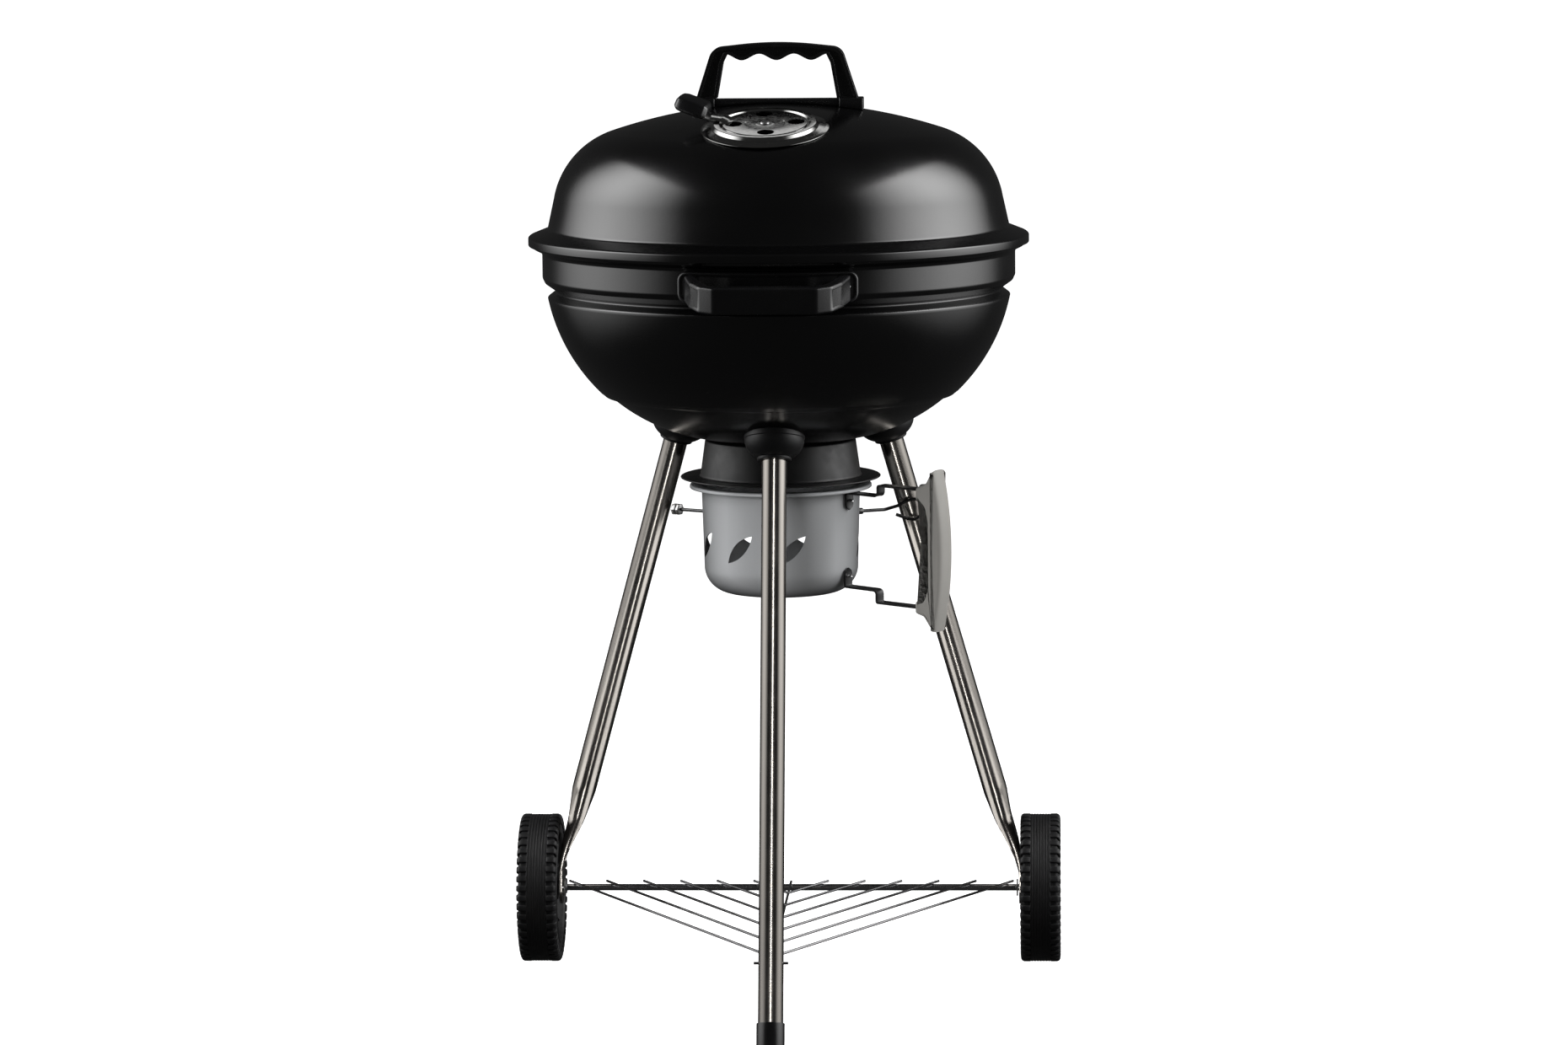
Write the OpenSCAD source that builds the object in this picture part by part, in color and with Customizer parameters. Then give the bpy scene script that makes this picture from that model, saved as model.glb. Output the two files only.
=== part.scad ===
// Kettle charcoal grill on three legs, with two wheels, a wire rack and a lift-off ash pot.
// The kettle's axis is vertical. The front leg and the bowl handle point towards -Y.
// The origin is on the ground, under the middle of the whole grill.

/* [Lid] */
// Height of the top of the lid's dome above the ground
lid_top = 909.4; // [880:1:930]
// Radius of the shallow dome
dome_r = 537; // [480:1:600]
// Radius of the rounded shoulder between dome and wall
shoulder_r = 87; // [70:1:95]
// Draft angle of the lid's wall
lid_draft = 10.2; // [6:0.1:14]
// Radius of the lid's wall where it meets the flange
lid_foot_r = 232.5; // [225:0.5:236]
// Outer radius of the lid's flange
flange_r = 253.5; // [250:0.5:260]
// Thickness of the enamelled sheet
sheet = 1.5; // [1.2:0.1:2]

/* [Bowl] */
// Outer radius of the band at the top of the bowl
band_r = 239.5; // [238:0.5:241]
// Height where the rounded part of the bowl starts its curve
bowl_axis_z = 751.3; // [745:0.1:760]
// Radius from the kettle's axis to the centre of the bowl's curve
bowl_axis_r = 52; // [40:0.5:60]
// Radius of the bowl's curve
bowl_curve = 185.9; // [180:0.1:190]
// How much smaller the dish below the shoulder is
dish_step = 3.9; // [3:0.1:6]

/* [Legs] */
// Outside diameter of the leg tube
leg_d = 25; // [22:0.5:28]
// Wall of the leg tube
leg_wall = 1.2; // [1:0.1:2]
// Lean of each leg from the vertical
leg_lean = 17.8; // [14:0.1:20]
// Distance from the kettle's axis to each leg's centre line at the ground
leg_foot_r = 307.7; // [295:0.1:315]
// Diameter of the plastic cap on the front leg
foot_d = 28; // [26:0.5:34]

/* [Wheels and axle] */
// Wheel diameter
wheel_d = 155; // [150:1:165]
// Width of the wheel over the sidewalls
wheel_w = 42; // [36:1:44]
// Distance from the middle of the grill to each wheel's middle plane
wheel_x = 262; // [261:0.5:270]
// Diameter of the axle rod
axle_d = 7; // [6:0.5:8]
// Distance between the two outer ends of the axle
axle_len = 556; // [550:1:600]

/* [Ash pot] */
// Outside radius of the pot at its rim
pot_top_r = 80.7; // [78:0.1:84]
// Outside radius of the pot where its bottom corner starts
pot_low_r = 78.4; // [76:0.1:82]
// Height of the pot's rim above the ground
pot_rim_z = 523; // [520:1:526]
// Height of the pot's bottom above the ground
pot_base_z = 412; // [405:1:420]
// Radius of the pot's bottom corner
pot_corner = 27; // [20:1:32]

/* [Grates] */
// Diameter of the cooking grate's rods
rod_d = 4; // [3.5:0.1:5]
// Distance between rods of the cooking grate
rod_pitch = 15.5; // [14:0.5:18]
// Distance between rods of the charcoal grate
coal_pitch = 20; // [16:1:24]

/* [Hidden] */
$fn = 96;

leg_r = leg_d / 2;
axle_r = axle_d / 2;
axle_z = wheel_d / 2;
axle_y = (leg_foot_r - axle_z * tan(leg_lean)) * sin(30);
front_reach = leg_foot_r + foot_d / 2 / cos(leg_lean);
kettle_y = (front_reach - flange_r) / 2;
lid_foot_z = 785;
leg_top = 603;
blade_x = 241;
blade_t = 3;
blade_low = 95;
round_low = 187;
tube_low = 200;
wire_r = 1.35;
spine_z = axle_z + axle_r + wire_r + 0.05;
hole_gap = 0.05;
bolt_black = [0.16, 0.16, 0.17];
enamel = [0.03, 0.03, 0.035];
plastic = [0.06, 0.06, 0.065];
steel = [0.72, 0.72, 0.74];
bright = [0.83, 0.83, 0.85];
pot_grey = [0.56, 0.57, 0.58];
handle_grey = [0.63, 0.62, 0.59];

// ---- helpers ----

function arc(c, r, a0, a1, n) = [for (i = [0 : n])
    let (a = a0 + (a1 - a0) * i / n) c + r * [cos(a), sin(a)]];
function flip(p) = [for (i = [len(p) - 1 : -1 : 0]) p[i]];
function unit(v) = v / norm(v);
function right_of(v) = [v[1], -v[0]];
function inset(p, t) = [for (i = [0 : len(p) - 1])
    let (q = p[i] + t * right_of(unit(p[min(i + 1, len(p) - 1)] - p[max(i - 1, 0)])))
    [p[i][0] == 0 ? 0 : q[0], q[1]]];

// A turned sheet: the outer path and the same path moved inwards by the sheet's thickness
module turned_sheet(path, t) {
    rotate_extrude() polygon(concat(path, flip(inset(path, t))));
}

module kettle() {
    translate([0, kettle_y, 0]) children();
}

// Stands the children on a leg's centre line, at a distance s up from the ground; turn 0 is the front leg
module on_leg(turn, s) {
    kettle() rotate([0, 0, turn]) translate([0, -leg_foot_r, 0]) rotate([-leg_lean, 0, 0])
        translate([0, 0, s]) children();
}

module rod(a, b, r) {
    d = b - a;
    translate(a) rotate([0, acos(d[2] / norm(d)), atan2(d[1], d[0])])
        cylinder(h = norm(d), r = r, $fn = 24);
}

// A bent wire of straight stretches with round elbows
module wire(pts, r) {
    for (i = [0 : len(pts) - 2]) hull() for (p = [pts[i], pts[i + 1]]) translate(p) sphere(r = r, $fn = 12);
}

module screw(head_r, head_h, shank_r, shank_len) {
    intersection() {
        cylinder(h = head_h, r = head_r, $fn = 32);
        translate([0, 0, head_h - head_r * 1.6]) sphere(r = head_r * 1.6, $fn = 48);
    }
    translate([0, 0, -shank_len]) cylinder(h = shank_len + 0.1, r = shank_r, $fn = 32);
}

// ---- lid ----

dome_z = lid_top - dome_r;
wall_slope = tan(lid_draft);
shoulder_line = lid_foot_r - shoulder_r / cos(lid_draft);
dome_gap = dome_r - shoulder_r;
foot_rise = lid_foot_z - dome_z;
shoulder_b = foot_rise - shoulder_line * wall_slope;
shoulder_c = shoulder_line * shoulder_line + foot_rise * foot_rise - dome_gap * dome_gap;
shoulder_a = 1 + wall_slope * wall_slope;
shoulder_up = (-shoulder_b + sqrt(shoulder_b * shoulder_b - shoulder_a * shoulder_c)) / shoulder_a;
shoulder_c2 = [shoulder_line - shoulder_up * wall_slope, lid_foot_z + shoulder_up];
dome_end = atan2(shoulder_c2[1] - dome_z, shoulder_c2[0]);
lid_path = concat(
    arc([0, dome_z], dome_r, 90, dome_end, 12),
    arc(shoulder_c2, shoulder_r, dome_end - 3.5, lid_draft, 17),
    [[lid_foot_r + 0.4, lid_foot_z + 2.5], [lid_foot_r + 2, lid_foot_z - 0.4]],
    [[flange_r - 2.4, 777.6], [flange_r - 0.6, 776.6], [flange_r, 775], [flange_r, 769]]);

// The damper sits on the dome in front of the handle, square to the dome there
damper_off = 125;
damper_tilt = asin(damper_off / dome_r);
damper_side = -3;
vent_pitch_r = 31;
module at_damper() {
    kettle() rotate([0, 0, damper_side]) translate([0, -damper_off, dome_z + dome_r * cos(damper_tilt)])
        rotate([damper_tilt, 0, 0]) children();
}

module vent_holes(r, low, high) {
    for (a = [7 : 90 : 277]) rotate([0, 0, a]) translate([vent_pitch_r, 0, low])
        cylinder(h = high - low, r = r, $fn = 32);
}

module lid() {
    color(enamel) difference() {
        kettle() turned_sheet(lid_path, sheet);
        at_damper() vent_holes(9, -6, 6);
        at_damper() translate([0, 0, -6]) cylinder(h = 12, r = 3 + hole_gap, $fn = 32);
        kettle() for (x = [-68, 68]) translate([x, 0, 880]) cylinder(h = 40, r = 3 + hole_gap, $fn = 32);
    }
}

// ---- damper in the lid ----

seat_path = [[44, 1.4], [46, 3.6], [51, 3.6], [54, -0.3], [58.5, -1.6], [63.5, -2.5]];
module damper_seat() {
    color(bright) at_damper() difference() {
        union() {
            turned_sheet(seat_path, 0.9);
            translate([0, 0, 0.4]) cylinder(h = 1, r = 44.3);
        }
        vent_holes(8.7, -3, 4);
        translate([0, 0, -3]) cylinder(h = 6, r = 3 + hole_gap, $fn = 32);
    }
}

tab_turn = 168;
module damper_disc() {
    color(bright) at_damper() difference() {
        union() {
            translate([0, 0, 1.6]) cylinder(h = 1, r = 42.5);
            rotate([0, 0, tab_turn]) rotate([90, 0, 0]) translate([0, 0, -9]) linear_extrude(18)
                polygon([[30, 2.5], [36, 2.5], [44, 5.4], [58, 6.6], [74, 12], [74, 13], [57.6, 7.6],
                    [43.6, 6.4], [35.6, 3.4], [30, 3.4]]);
        }
        vent_holes(8.5, 0, 5);
        cylinder(h = 5, r = 3 + hole_gap, $fn = 32);
    }
}

module damper_knob() {
    color(plastic) at_damper() rotate([0, 0, tab_turn]) translate([77, 0, 12.5]) rotate([0, -17, 0])
        difference() {
            hull() {
                translate([0, 0, -5]) cube([24, 22, 1], center = true);
                cube([34, 30, 6], center = true);
                translate([0, 0, 7]) cube([24, 20, 1], center = true);
            }
            translate([-18, -9.2, -0.7]) cube([17, 18.4, 1.4]);
        }
}

module damper_rivet() {
    color(bright) at_damper() {
        translate([0, 0, 2.75]) screw(4.6, 2, 3, 6.5);
        translate([0, 0, -4]) cylinder(h = 1.6, r = 6, $fn = 32);
    }
}

// ---- lid handle ----

grip_depth = 25;
grip_foot = 915;
grip_inner = concat([[60.5, grip_foot], [54.5, 950]],
    [for (x = [50 : -2.5 : -50]) [x, 956.5 - 3.2 * cos(x * 360 / 35)]],
    [[-54.5, 950], [-60.5, grip_foot]]);
grip_outer = concat([[-81.5, grip_foot]], arc([-55, 953], 13, 160, 100, 5),
    [for (x = [-40 : 10 : 40]) [x, 970.5 - x * x / 700]], arc([55, 953], 13, 80, 20, 5),
    [[81.5, grip_foot]]);
module lid_handle() {
    color(plastic) kettle() difference() {
        rotate([90, 0, 0]) translate([0, 0, -grip_depth / 2]) linear_extrude(grip_depth)
            polygon(concat(grip_inner, grip_outer));
        for (x = [-68, 68]) translate([x, 0, 900]) cylinder(h = 28, r = 3 + hole_gap, $fn = 32);
    }
}

// A bar on the dome under the grip, with a block at each end for the grip's feet
module lid_handle_base() {
    color(plastic) kettle() difference() {
        union() {
            translate([-76, -11, 896]) cube([152, 22, grip_foot - 897]);
            for (x = [-87, 63]) translate([x, -15, 890]) cube([24, 30, grip_foot - 890]);
        }
        translate([0, 0, dome_z]) sphere(r = dome_r + 0.2, $fn = 200);
        for (x = [-68, 68]) translate([x, 0, 880]) cylinder(h = 60, r = 3 + hole_gap, $fn = 32);
    }
}

module lid_handle_screws() {
    screw_z = dome_z + sqrt(dome_r * dome_r - 68 * 68) - sheet - 1;
    color(bright) kettle() for (x = [-68, 68]) translate([x, 0, screw_z]) mirror([0, 0, 1])
        screw(6, 3, 3, 24);
}

// ---- bowl ----

bowl_c = [bowl_axis_r, bowl_axis_z];
dish_r = bowl_curve - dish_step;
bowl_path = concat(
    [[242, 775.4], [248.4, 775.9], [250.9, 774], [251.2, 769], [249, 766.2], [241.2, 762.2],
        [band_r, 759], [band_r, 737], [238.4, 732.6], [234.8, 728], [228.6, 724.4], [226.7, 722]],
    [[228, 719.6], [232.3, 717]],
    arc(bowl_c, bowl_curve, -11.5, -45.5, 12),
    [[178.5, 615.6]],
    arc(bowl_c, dish_r, -49.6, -90, 14),
    [[0, bowl_axis_z - dish_r]]);
bowl_bottom = bowl_axis_z - dish_r;

module ash_slots() {
    for (a = [30, 150, 270]) rotate([0, 0, a]) translate([0, 0, bowl_bottom - 3]) {
        translate([24, -12, 0]) cube([24, 24, 12]);
        for (x = [24, 48]) translate([x, 0, 0]) cylinder(h = 12, r = 12, $fn = 32);
    }
}

collar_screw_r = 66;
module collar_holes() {
    for (a = [90, 210, 330]) rotate([0, 0, a]) translate([collar_screw_r, 0, 560])
        cylinder(h = 18, r = 2 + hole_gap, $fn = 24);
}

module bowl() {
    color(enamel) difference() {
        kettle() turned_sheet(bowl_path, sheet);
        kettle() ash_slots();
        kettle() collar_holes();
        for (t = [0, 120, 240]) on_leg(t, leg_top) cylinder(h = 30, r = 4 + hole_gap, $fn = 32);
    }
}

// ---- bowl handle ----

bracket_w = 177;
bracket_low = 728.5;
bracket_high = 758.9;
bracket_round = 9;
bracket_gap = 0.2;
bracket_t = 3.2;
module bracket_face() {
    w = bracket_w / 2 - bracket_round;
    z0 = bracket_low + bracket_round;
    z1 = bracket_high - bracket_round;
    rotate([90, 0, 0]) linear_extrude(300) {
        for (x = [-w, w], z = [z0, z1]) translate([x, z]) circle(r = bracket_round, $fn = 32);
        translate([-w - bracket_round, z0]) square([2 * w + 2 * bracket_round, z1 - z0]);
        translate([-w, z0 - bracket_round]) square([2 * w, z1 - z0 + 2 * bracket_round]);
    }
}

module bowl_handle_bracket() {
    color(plastic) kettle() intersection() {
        translate([0, 0, 700]) difference() {
            cylinder(h = 100, r = band_r + bracket_gap + bracket_t, $fn = 200);
            translate([0, 0, -1]) cylinder(h = 102, r = band_r + bracket_gap, $fn = 200);
        }
        bracket_face();
    }
}

root_x = 76;
root_y = -236;
grip_h = 26;
grip_slope = 7;
grip_half = [[81, root_y], [73, -268], [64, -287], [55, -295]];
grip_half_in = [[70, root_y], [61, -267], [55, -279], [50, -283]];
function mirrored(p) = [for (q = flip(p)) [-q[0], q[1]]];
module bowl_handle() {
    outer = concat(grip_half, mirrored(grip_half));
    inner = concat(grip_half_in, mirrored(grip_half_in));
    color(plastic) kettle() translate([0, root_y, 742.5]) rotate([grip_slope, 0, 0])
        translate([0, -root_y, 0]) linear_extrude(grip_h, center = true) polygon(concat(outer, flip(inner)));
}

module bowl_handle_bolts() {
    bolt_y = -sqrt(band_r * band_r - root_x * root_x) + sheet + 3;
    color(bright) kettle() for (x = [-root_x, root_x]) translate([x, bolt_y, 743]) rotate([-90, 0, 0])
        screw(7, 2.5, 3, 23.6);
}

// ---- ash collar under the bowl ----

collar_path = [[58, bowl_bottom - 0.7], [76.6, bowl_bottom - 0.7], [77, bowl_bottom - 2], [81, 536],
    [81.6, 531.2], [101.6, 531.2]];
module ash_collar() {
    color(bolt_black) kettle() difference() {
        turned_sheet(collar_path, 1.3);
        collar_holes();
    }
}

module collar_screws() {
    color(bright) kettle() for (a = [90, 210, 330]) rotate([0, 0, a])
        translate([collar_screw_r, 0, bowl_bottom + 2.9]) screw(5, 2.4, 2, 7);
}

// ---- legs, their sockets and the foot ----

module leg_tube(low, hollow_from) {
    difference() {
        translate([0, 0, low]) cylinder(h = leg_top - low, r = leg_r, $fn = 64);
        translate([0, 0, hollow_from]) cylinder(h = leg_top, r = leg_r - leg_wall, $fn = 64);
    }
}

module leg_front() {
    color(steel) difference() {
        on_leg(0, 0) leg_tube(5, 6.2);
        translate([0, pin_y, pin_z]) rotate([0, 90, 0])
            cylinder(h = 60, r = wire_r + hole_gap, center = true, $fn = 24);
        translate([0, pin_y, spine_z]) rotate([-90, 0, 0]) cylinder(h = 40, r = wire_r + 0.2, $fn = 24);
    }
}

pin_z = 82;
pin_y = kettle_y - leg_foot_r + pin_z * tan(leg_lean);

// The side view that squeezes a round tube into the thin blade at its foot
function leg_x(z) = (leg_foot_r - z * tan(leg_lean)) * cos(30);
squeeze_half = 14.5;
squeeze = [[blade_x - blade_t / 2, blade_low],
    [leg_x(round_low) - squeeze_half, round_low],
    [leg_x(round_low) - 70, round_low + 5],
    [0, 700],
    [400, 700],
    [leg_x(round_low) + 70, round_low + 5],
    [leg_x(round_low) + squeeze_half, round_low],
    [blade_x + blade_t / 2, blade_low]];

// A rear leg is a round tube that flattens into an upright blade, with the hole for the axle
module rear_leg(s) {
    color(steel) difference() {
        union() {
            intersection() {
                on_leg(s * 120, 0) leg_tube(blade_low - 2, tube_low);
                mirror([s < 0 ? 1 : 0, 0, 0]) rotate([90, 0, 0]) linear_extrude(600, center = true)
                    polygon(squeeze);
            }
            translate([s * blade_x - blade_t / 2, kettle_y + axle_y - 19.5, axle_z])
                cube([blade_t, 33, blade_low + 6 - axle_z]);
            translate([s * blade_x, kettle_y + axle_y - 3, axle_z]) rotate([0, 90, 0])
                cylinder(h = blade_t, r = 16.5, center = true, $fn = 48);
        }
        translate([s * blade_x, kettle_y + axle_y, axle_z]) rotate([0, 90, 0])
            cylinder(h = 20, r = axle_r + hole_gap, center = true, $fn = 32);
    }
}
module leg_left() { rear_leg(-1); }
module leg_right() { rear_leg(1); }

// Room for the bowl above a socket
module under_bowl(gap) {
    curve = arc(bowl_c, dish_r + gap, -90, -45, 18);
    kettle() rotate_extrude() polygon(concat(curve, [[190, 720], [0, 720]]));
}

cup_low = 589;
cup_profile = concat([[0, 0], [17, 0]], arc([9, 22], 21, -68, -5, 10),
    [[30.4, 21.5], [30.4, 27], [29, 51], [0, 51]]);
module leg_socket(turn) {
    color(plastic) difference() {
        on_leg(turn, cup_low) rotate_extrude() polygon(cup_profile);
        under_bowl(0.2);
        on_leg(turn, cup_low - 1) cylinder(h = leg_top - cup_low + 1.2, r = leg_r + hole_gap, $fn = 64);
        on_leg(turn, leg_top) cylinder(h = 60, r = 4 + hole_gap, $fn = 32);
    }
}
module leg_socket_front() { leg_socket(0); }
module leg_socket_left() { leg_socket(-120); }
module leg_socket_right() { leg_socket(120); }

// Each bolt's head lies on the bowl's inside and its shank runs down into the socket
module socket_bolts() {
    color(bright) for (t = [0, 120, 240]) on_leg(t, leg_top + 17) screw(8, 4, 4, 15);
}

module foot_cap() {
    color(plastic) difference() {
        on_leg(0, -8) cylinder(h = 35, r = foot_d / 2, $fn = 64);
        on_leg(0, 5 - hole_gap) cylinder(h = 40, r = leg_r + hole_gap, $fn = 64);
        translate([0, kettle_y - leg_foot_r, -20]) cube([80, 80, 40], center = true);
    }
}

// ---- axle and wheels ----

module on_axle(x) {
    translate([x, kettle_y + axle_y, axle_z]) rotate([0, 90, 0]) children();
}

module axle() {
    color(bright) on_axle(-axle_len / 2) cylinder(h = axle_len, r = axle_r, $fn = 48);
}

module axle_washers() {
    color(bright) for (s = [-1, 1], x = [237.6, 243.6]) on_axle(s * x) difference() {
        cylinder(h = 1.6, r = 9, center = true, $fn = 48);
        cylinder(h = 3, r = axle_r + hole_gap, center = true, $fn = 48);
    }
}

// Push-on caps that hold the wheels on the axle
module axle_caps() {
    color(plastic) for (s = [-1, 1]) on_axle(s * (axle_len / 2 + 0.5)) difference() {
        cylinder(h = 5, r = 9, center = true, $fn = 48);
        translate([0, 0, s * -1]) cylinder(h = 3.2, r = axle_r + hole_gap, center = true, $fn = 48);
    }
}

half_w = wheel_w / 2;
wheel_r = wheel_d / 2;
web_half = 6;
wheel_side = [[23, web_half], [47, web_half], [53, half_w - 1], [56, half_w], [66, half_w],
    [wheel_r - 4, half_w - 1.5], [wheel_r, half_w - 4]];
wheel_half = concat([for (p = wheel_side) [p[0], -p[1]]], flip(wheel_side));
module wheel(s) {
    color(plastic) on_axle(s * wheel_x) rotate_extrude() polygon(wheel_half);
}
module wheel_left() { wheel(-1); }
module wheel_right() { wheel(1); }

hub_bore = axle_r + hole_gap;
hub_half = [[hub_bore, -17], [13, -17], [15, -9], [26, -6.2],
    [26, 6.2], [15, 8], [13, 13.4], [hub_bore, 13.4]];
module hub(s) {
    color(plastic) on_axle(s * wheel_x) rotate([s > 0 ? 0 : 180, 0, 0]) difference() {
        rotate_extrude() polygon(hub_half);
        difference() {
            translate([0, 0, -6.2]) cylinder(h = 12.4, r = 30);
            translate([0, 0, -7]) cylinder(h = 14, r = 22.95);
        }
    }
}
module hub_left() { hub(-1); }
module hub_right() { hub(1); }

// ---- wire rack between the axle and the front leg ----

rack_places = [39, 77.5, 116, 155, 194, 233];
rack_slope = tan(60);
rack_back = kettle_y + axle_y + 7;
module rack() {
    color(bright) {
        rod([0, pin_y + 4, spine_z], [0, rack_back, spine_z], wire_r);
        for (s = [-1, 1], x = rack_places)
            rod([s * x, rack_back, spine_z + 0.6], [0, rack_back - rack_slope * x, spine_z + 0.6], wire_r);
    }
}

module rack_pin() {
    color(bright) translate([0, pin_y, pin_z]) rotate([0, 90, 0])
        cylinder(h = 34, r = wire_r, center = true, $fn = 24);
}

// ---- ash pot and its handle ----

pot_path = concat(
    [[91, pot_rim_z - 2.4], [91.6, pot_rim_z - 0.8], [90.6, pot_rim_z], [82, pot_rim_z]],
    [[pot_top_r, pot_rim_z - 1.4]],
    arc([pot_low_r - pot_corner, pot_base_z + pot_corner], pot_corner, 0, -90, 10),
    [[0, pot_base_z]]);

// One leaf-shaped vent, slanted, cut through the wall
leaf_len = 41;
leaf_w = 13;
leaf_r = (leaf_len * leaf_len + leaf_w * leaf_w) / (4 * leaf_w);
module leaf() {
    rotate([90, 0, 0]) rotate([0, 0, 45]) intersection_for(s = [-1, 1])
        translate([0, s * (leaf_r - leaf_w / 2), 60]) cylinder(h = 40, r = leaf_r, $fn = 96);
}

leaf_turns = [for (i = [0 : 7]) 90.4 + 40 * i];
module ash_pot() {
    color(pot_grey) kettle() difference() {
        turned_sheet(pot_path, 1.2);
        for (a = leaf_turns) rotate([0, 0, a]) translate([0, 0, 463]) leaf();
    }
}

// The handle stands out sideways, half-way between the front leg and the right leg
handle_turn = -30;
strap_w = 14;
strap_t = 2.2;
module beside_pot() {
    kettle() rotate([0, 0, handle_turn]) children();
}
module strap(pts) {
    color(bolt_black) beside_pot() rotate([90, 0, 0]) translate([0, 0, -strap_w / 2])
        linear_extrude(strap_w) polygon(concat(pts, flip(inset(pts, strap_t))));
}
module strap_upper() {
    strap([[80.9, 503], [80.9, 519.6], [118.5, 517.6], [118.5, 528.6], [172, 527]]);
}
module strap_lower() {
    strap([[170, 405.4], [116.5, 407.2], [116.5, 419.4], [79, 421], [79, 440]]);
}
module strap_screws() {
    color(bright) beside_pot() {
        for (p = [[83.2, 510], [81.3, 431]])
            translate([p[0], 0, p[1]]) rotate([0, 90, 0]) screw(4, 2.2, 2, 5);
    }
}

handle_edge = arc([-176, 464.5], 374, 12.5, -12.5, 16);
handle_back = [[187, 383], [182, 388], [175, 398], [165, 401], [165, 414], [174, 417], [178, 428],
    [178, 494], [175, 508], [166, 517], [166, 529], [178, 534], [184, 545]];
module pot_handle() {
    color(handle_grey) beside_pot() rotate([90, 0, 0]) translate([0, 0, -12]) linear_extrude(24)
        polygon(concat([[188.5, 548]], handle_edge, handle_back));
}
module handle_pins() {
    color(bright) beside_pot() {
        translate([170, 0, 531.5]) screw(4, 2, 2, 10);
        translate([167.5, 0, 401.2]) mirror([0, 0, 1]) screw(4, 2, 2, 10);
    }
}

// Wires that hold the pot between the two rear legs
hanger_z = 488;
hanger_r = 1.75;
module beside_leg() {
    kettle() rotate([0, 0, 150]) children();
}
module hanger_left() {
    color(bright) beside_leg() rod([79, 0, hanger_z], [131, 0, hanger_z], hanger_r);
}
module hanger_nut() {
    color(bright) beside_leg() translate([126, 0, hanger_z]) rotate([0, 90, 0]) difference() {
        cylinder(h = 8, r = 6.5, $fn = 6);
        translate([0, 0, -1]) cylinder(h = 10, r = hanger_r + hole_gap, $fn = 24);
    }
}
// The hook's open loop lies just in front of the leg
hook_pts = [[68.5, 39, hanger_z], [104, 56, hanger_z], [118, 57, 492], [126, 57, 497],
    [136, 57, 499], [142.5, 57, 495.5], [144.5, 57, 487.5], [140.5, 57, 481],
    [134.5, 57, 477.5], [127.5, 57, 478.5], [115.5, 56, 483]];
module hanger_right() {
    color(bright) kettle() wire(hook_pts, hanger_r);
}

// ---- grates ----

module ring(r, wire) {
    rotate_extrude() translate([r, 0]) circle(r = wire, $fn = 24);
}
module rods(ring_r, pitch, r, lift) {
    n = floor((ring_r - 12) / pitch);
    for (i = [-n : n]) {
        half = sqrt(ring_r * ring_r - i * pitch * i * pitch);
        translate([i * pitch, 0, lift]) rotate([90, 0, 0])
            cylinder(h = 2 * half, r = r, center = true, $fn = 16);
    }
}

cook_ring = 227;
cook_z = 729.1;
module cooking_grate() {
    color(bright) kettle() translate([0, 0, cook_z]) {
        ring(cook_ring, 3);
        rods(cook_ring, rod_pitch, rod_d / 2, 3.8);
        for (y = [-95, 95]) translate([0, y, -1]) rotate([0, 90, 0])
            cylinder(h = 412, r = 2.5, center = true, $fn = 24);
        for (s = [-1, 1]) translate([s * 12 * rod_pitch, 0, 0]) {
            for (y = [-42, 42]) translate([0, y, 2]) cylinder(h = 28, r = 2.6, $fn = 24);
            translate([0, 0, 30]) rotate([90, 0, 0]) cylinder(h = 92, r = 2.9, center = true, $fn = 24);
        }
    }
}

coal_ring = 172.5;
coal_z = 620.2;
module charcoal_grate() {
    color([0.45, 0.45, 0.47]) kettle() translate([0, 0, coal_z]) {
        ring(coal_ring, 3);
        rods(coal_ring, coal_pitch, 3, 4.6);
        for (y = [-75, 75]) translate([0, y, -0.5]) rotate([0, 90, 0])
            cylinder(h = 308, r = 3, center = true, $fn = 24);
    }
}

lid();
lid_handle();
lid_handle_base();
lid_handle_screws();
damper_seat();
damper_disc();
damper_knob();
damper_rivet();
bowl();
bowl_handle();
bowl_handle_bracket();
bowl_handle_bolts();
ash_collar();
collar_screws();
leg_socket_front();
leg_socket_left();
leg_socket_right();
socket_bolts();
leg_front();
leg_left();
leg_right();
foot_cap();
axle();
axle_washers();
axle_caps();
wheel_left();
wheel_right();
hub_left();
hub_right();
rack();
rack_pin();
ash_pot();
strap_upper();
strap_lower();
strap_screws();
pot_handle();
handle_pins();
hanger_left();
hanger_nut();
hanger_right();
cooking_grate();
charcoal_grate();
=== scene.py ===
import bpy, bmesh, math
from mathutils import Matrix, Vector, noise


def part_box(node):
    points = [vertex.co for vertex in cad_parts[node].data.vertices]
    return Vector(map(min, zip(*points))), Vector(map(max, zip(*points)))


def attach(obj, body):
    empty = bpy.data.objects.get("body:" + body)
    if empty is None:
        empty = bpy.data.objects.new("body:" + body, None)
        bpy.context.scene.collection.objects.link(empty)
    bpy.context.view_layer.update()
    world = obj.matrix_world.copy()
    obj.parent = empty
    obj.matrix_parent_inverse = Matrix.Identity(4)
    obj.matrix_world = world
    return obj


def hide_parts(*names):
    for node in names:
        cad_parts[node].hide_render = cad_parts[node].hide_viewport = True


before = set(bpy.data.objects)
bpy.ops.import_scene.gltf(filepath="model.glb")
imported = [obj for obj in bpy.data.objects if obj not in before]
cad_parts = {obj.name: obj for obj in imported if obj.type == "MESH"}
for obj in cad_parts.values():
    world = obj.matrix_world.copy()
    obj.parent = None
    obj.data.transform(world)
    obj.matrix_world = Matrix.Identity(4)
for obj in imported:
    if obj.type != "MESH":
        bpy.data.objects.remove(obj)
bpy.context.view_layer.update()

mm = 0.001
lidLow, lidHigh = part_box("lid")
kettleY = (lidLow[1] + lidHigh[1]) / 2       # the kettle's axis stands at x = 0, y = kettleY
kettle = Matrix.Translation((0, kettleY, 0))
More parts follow.
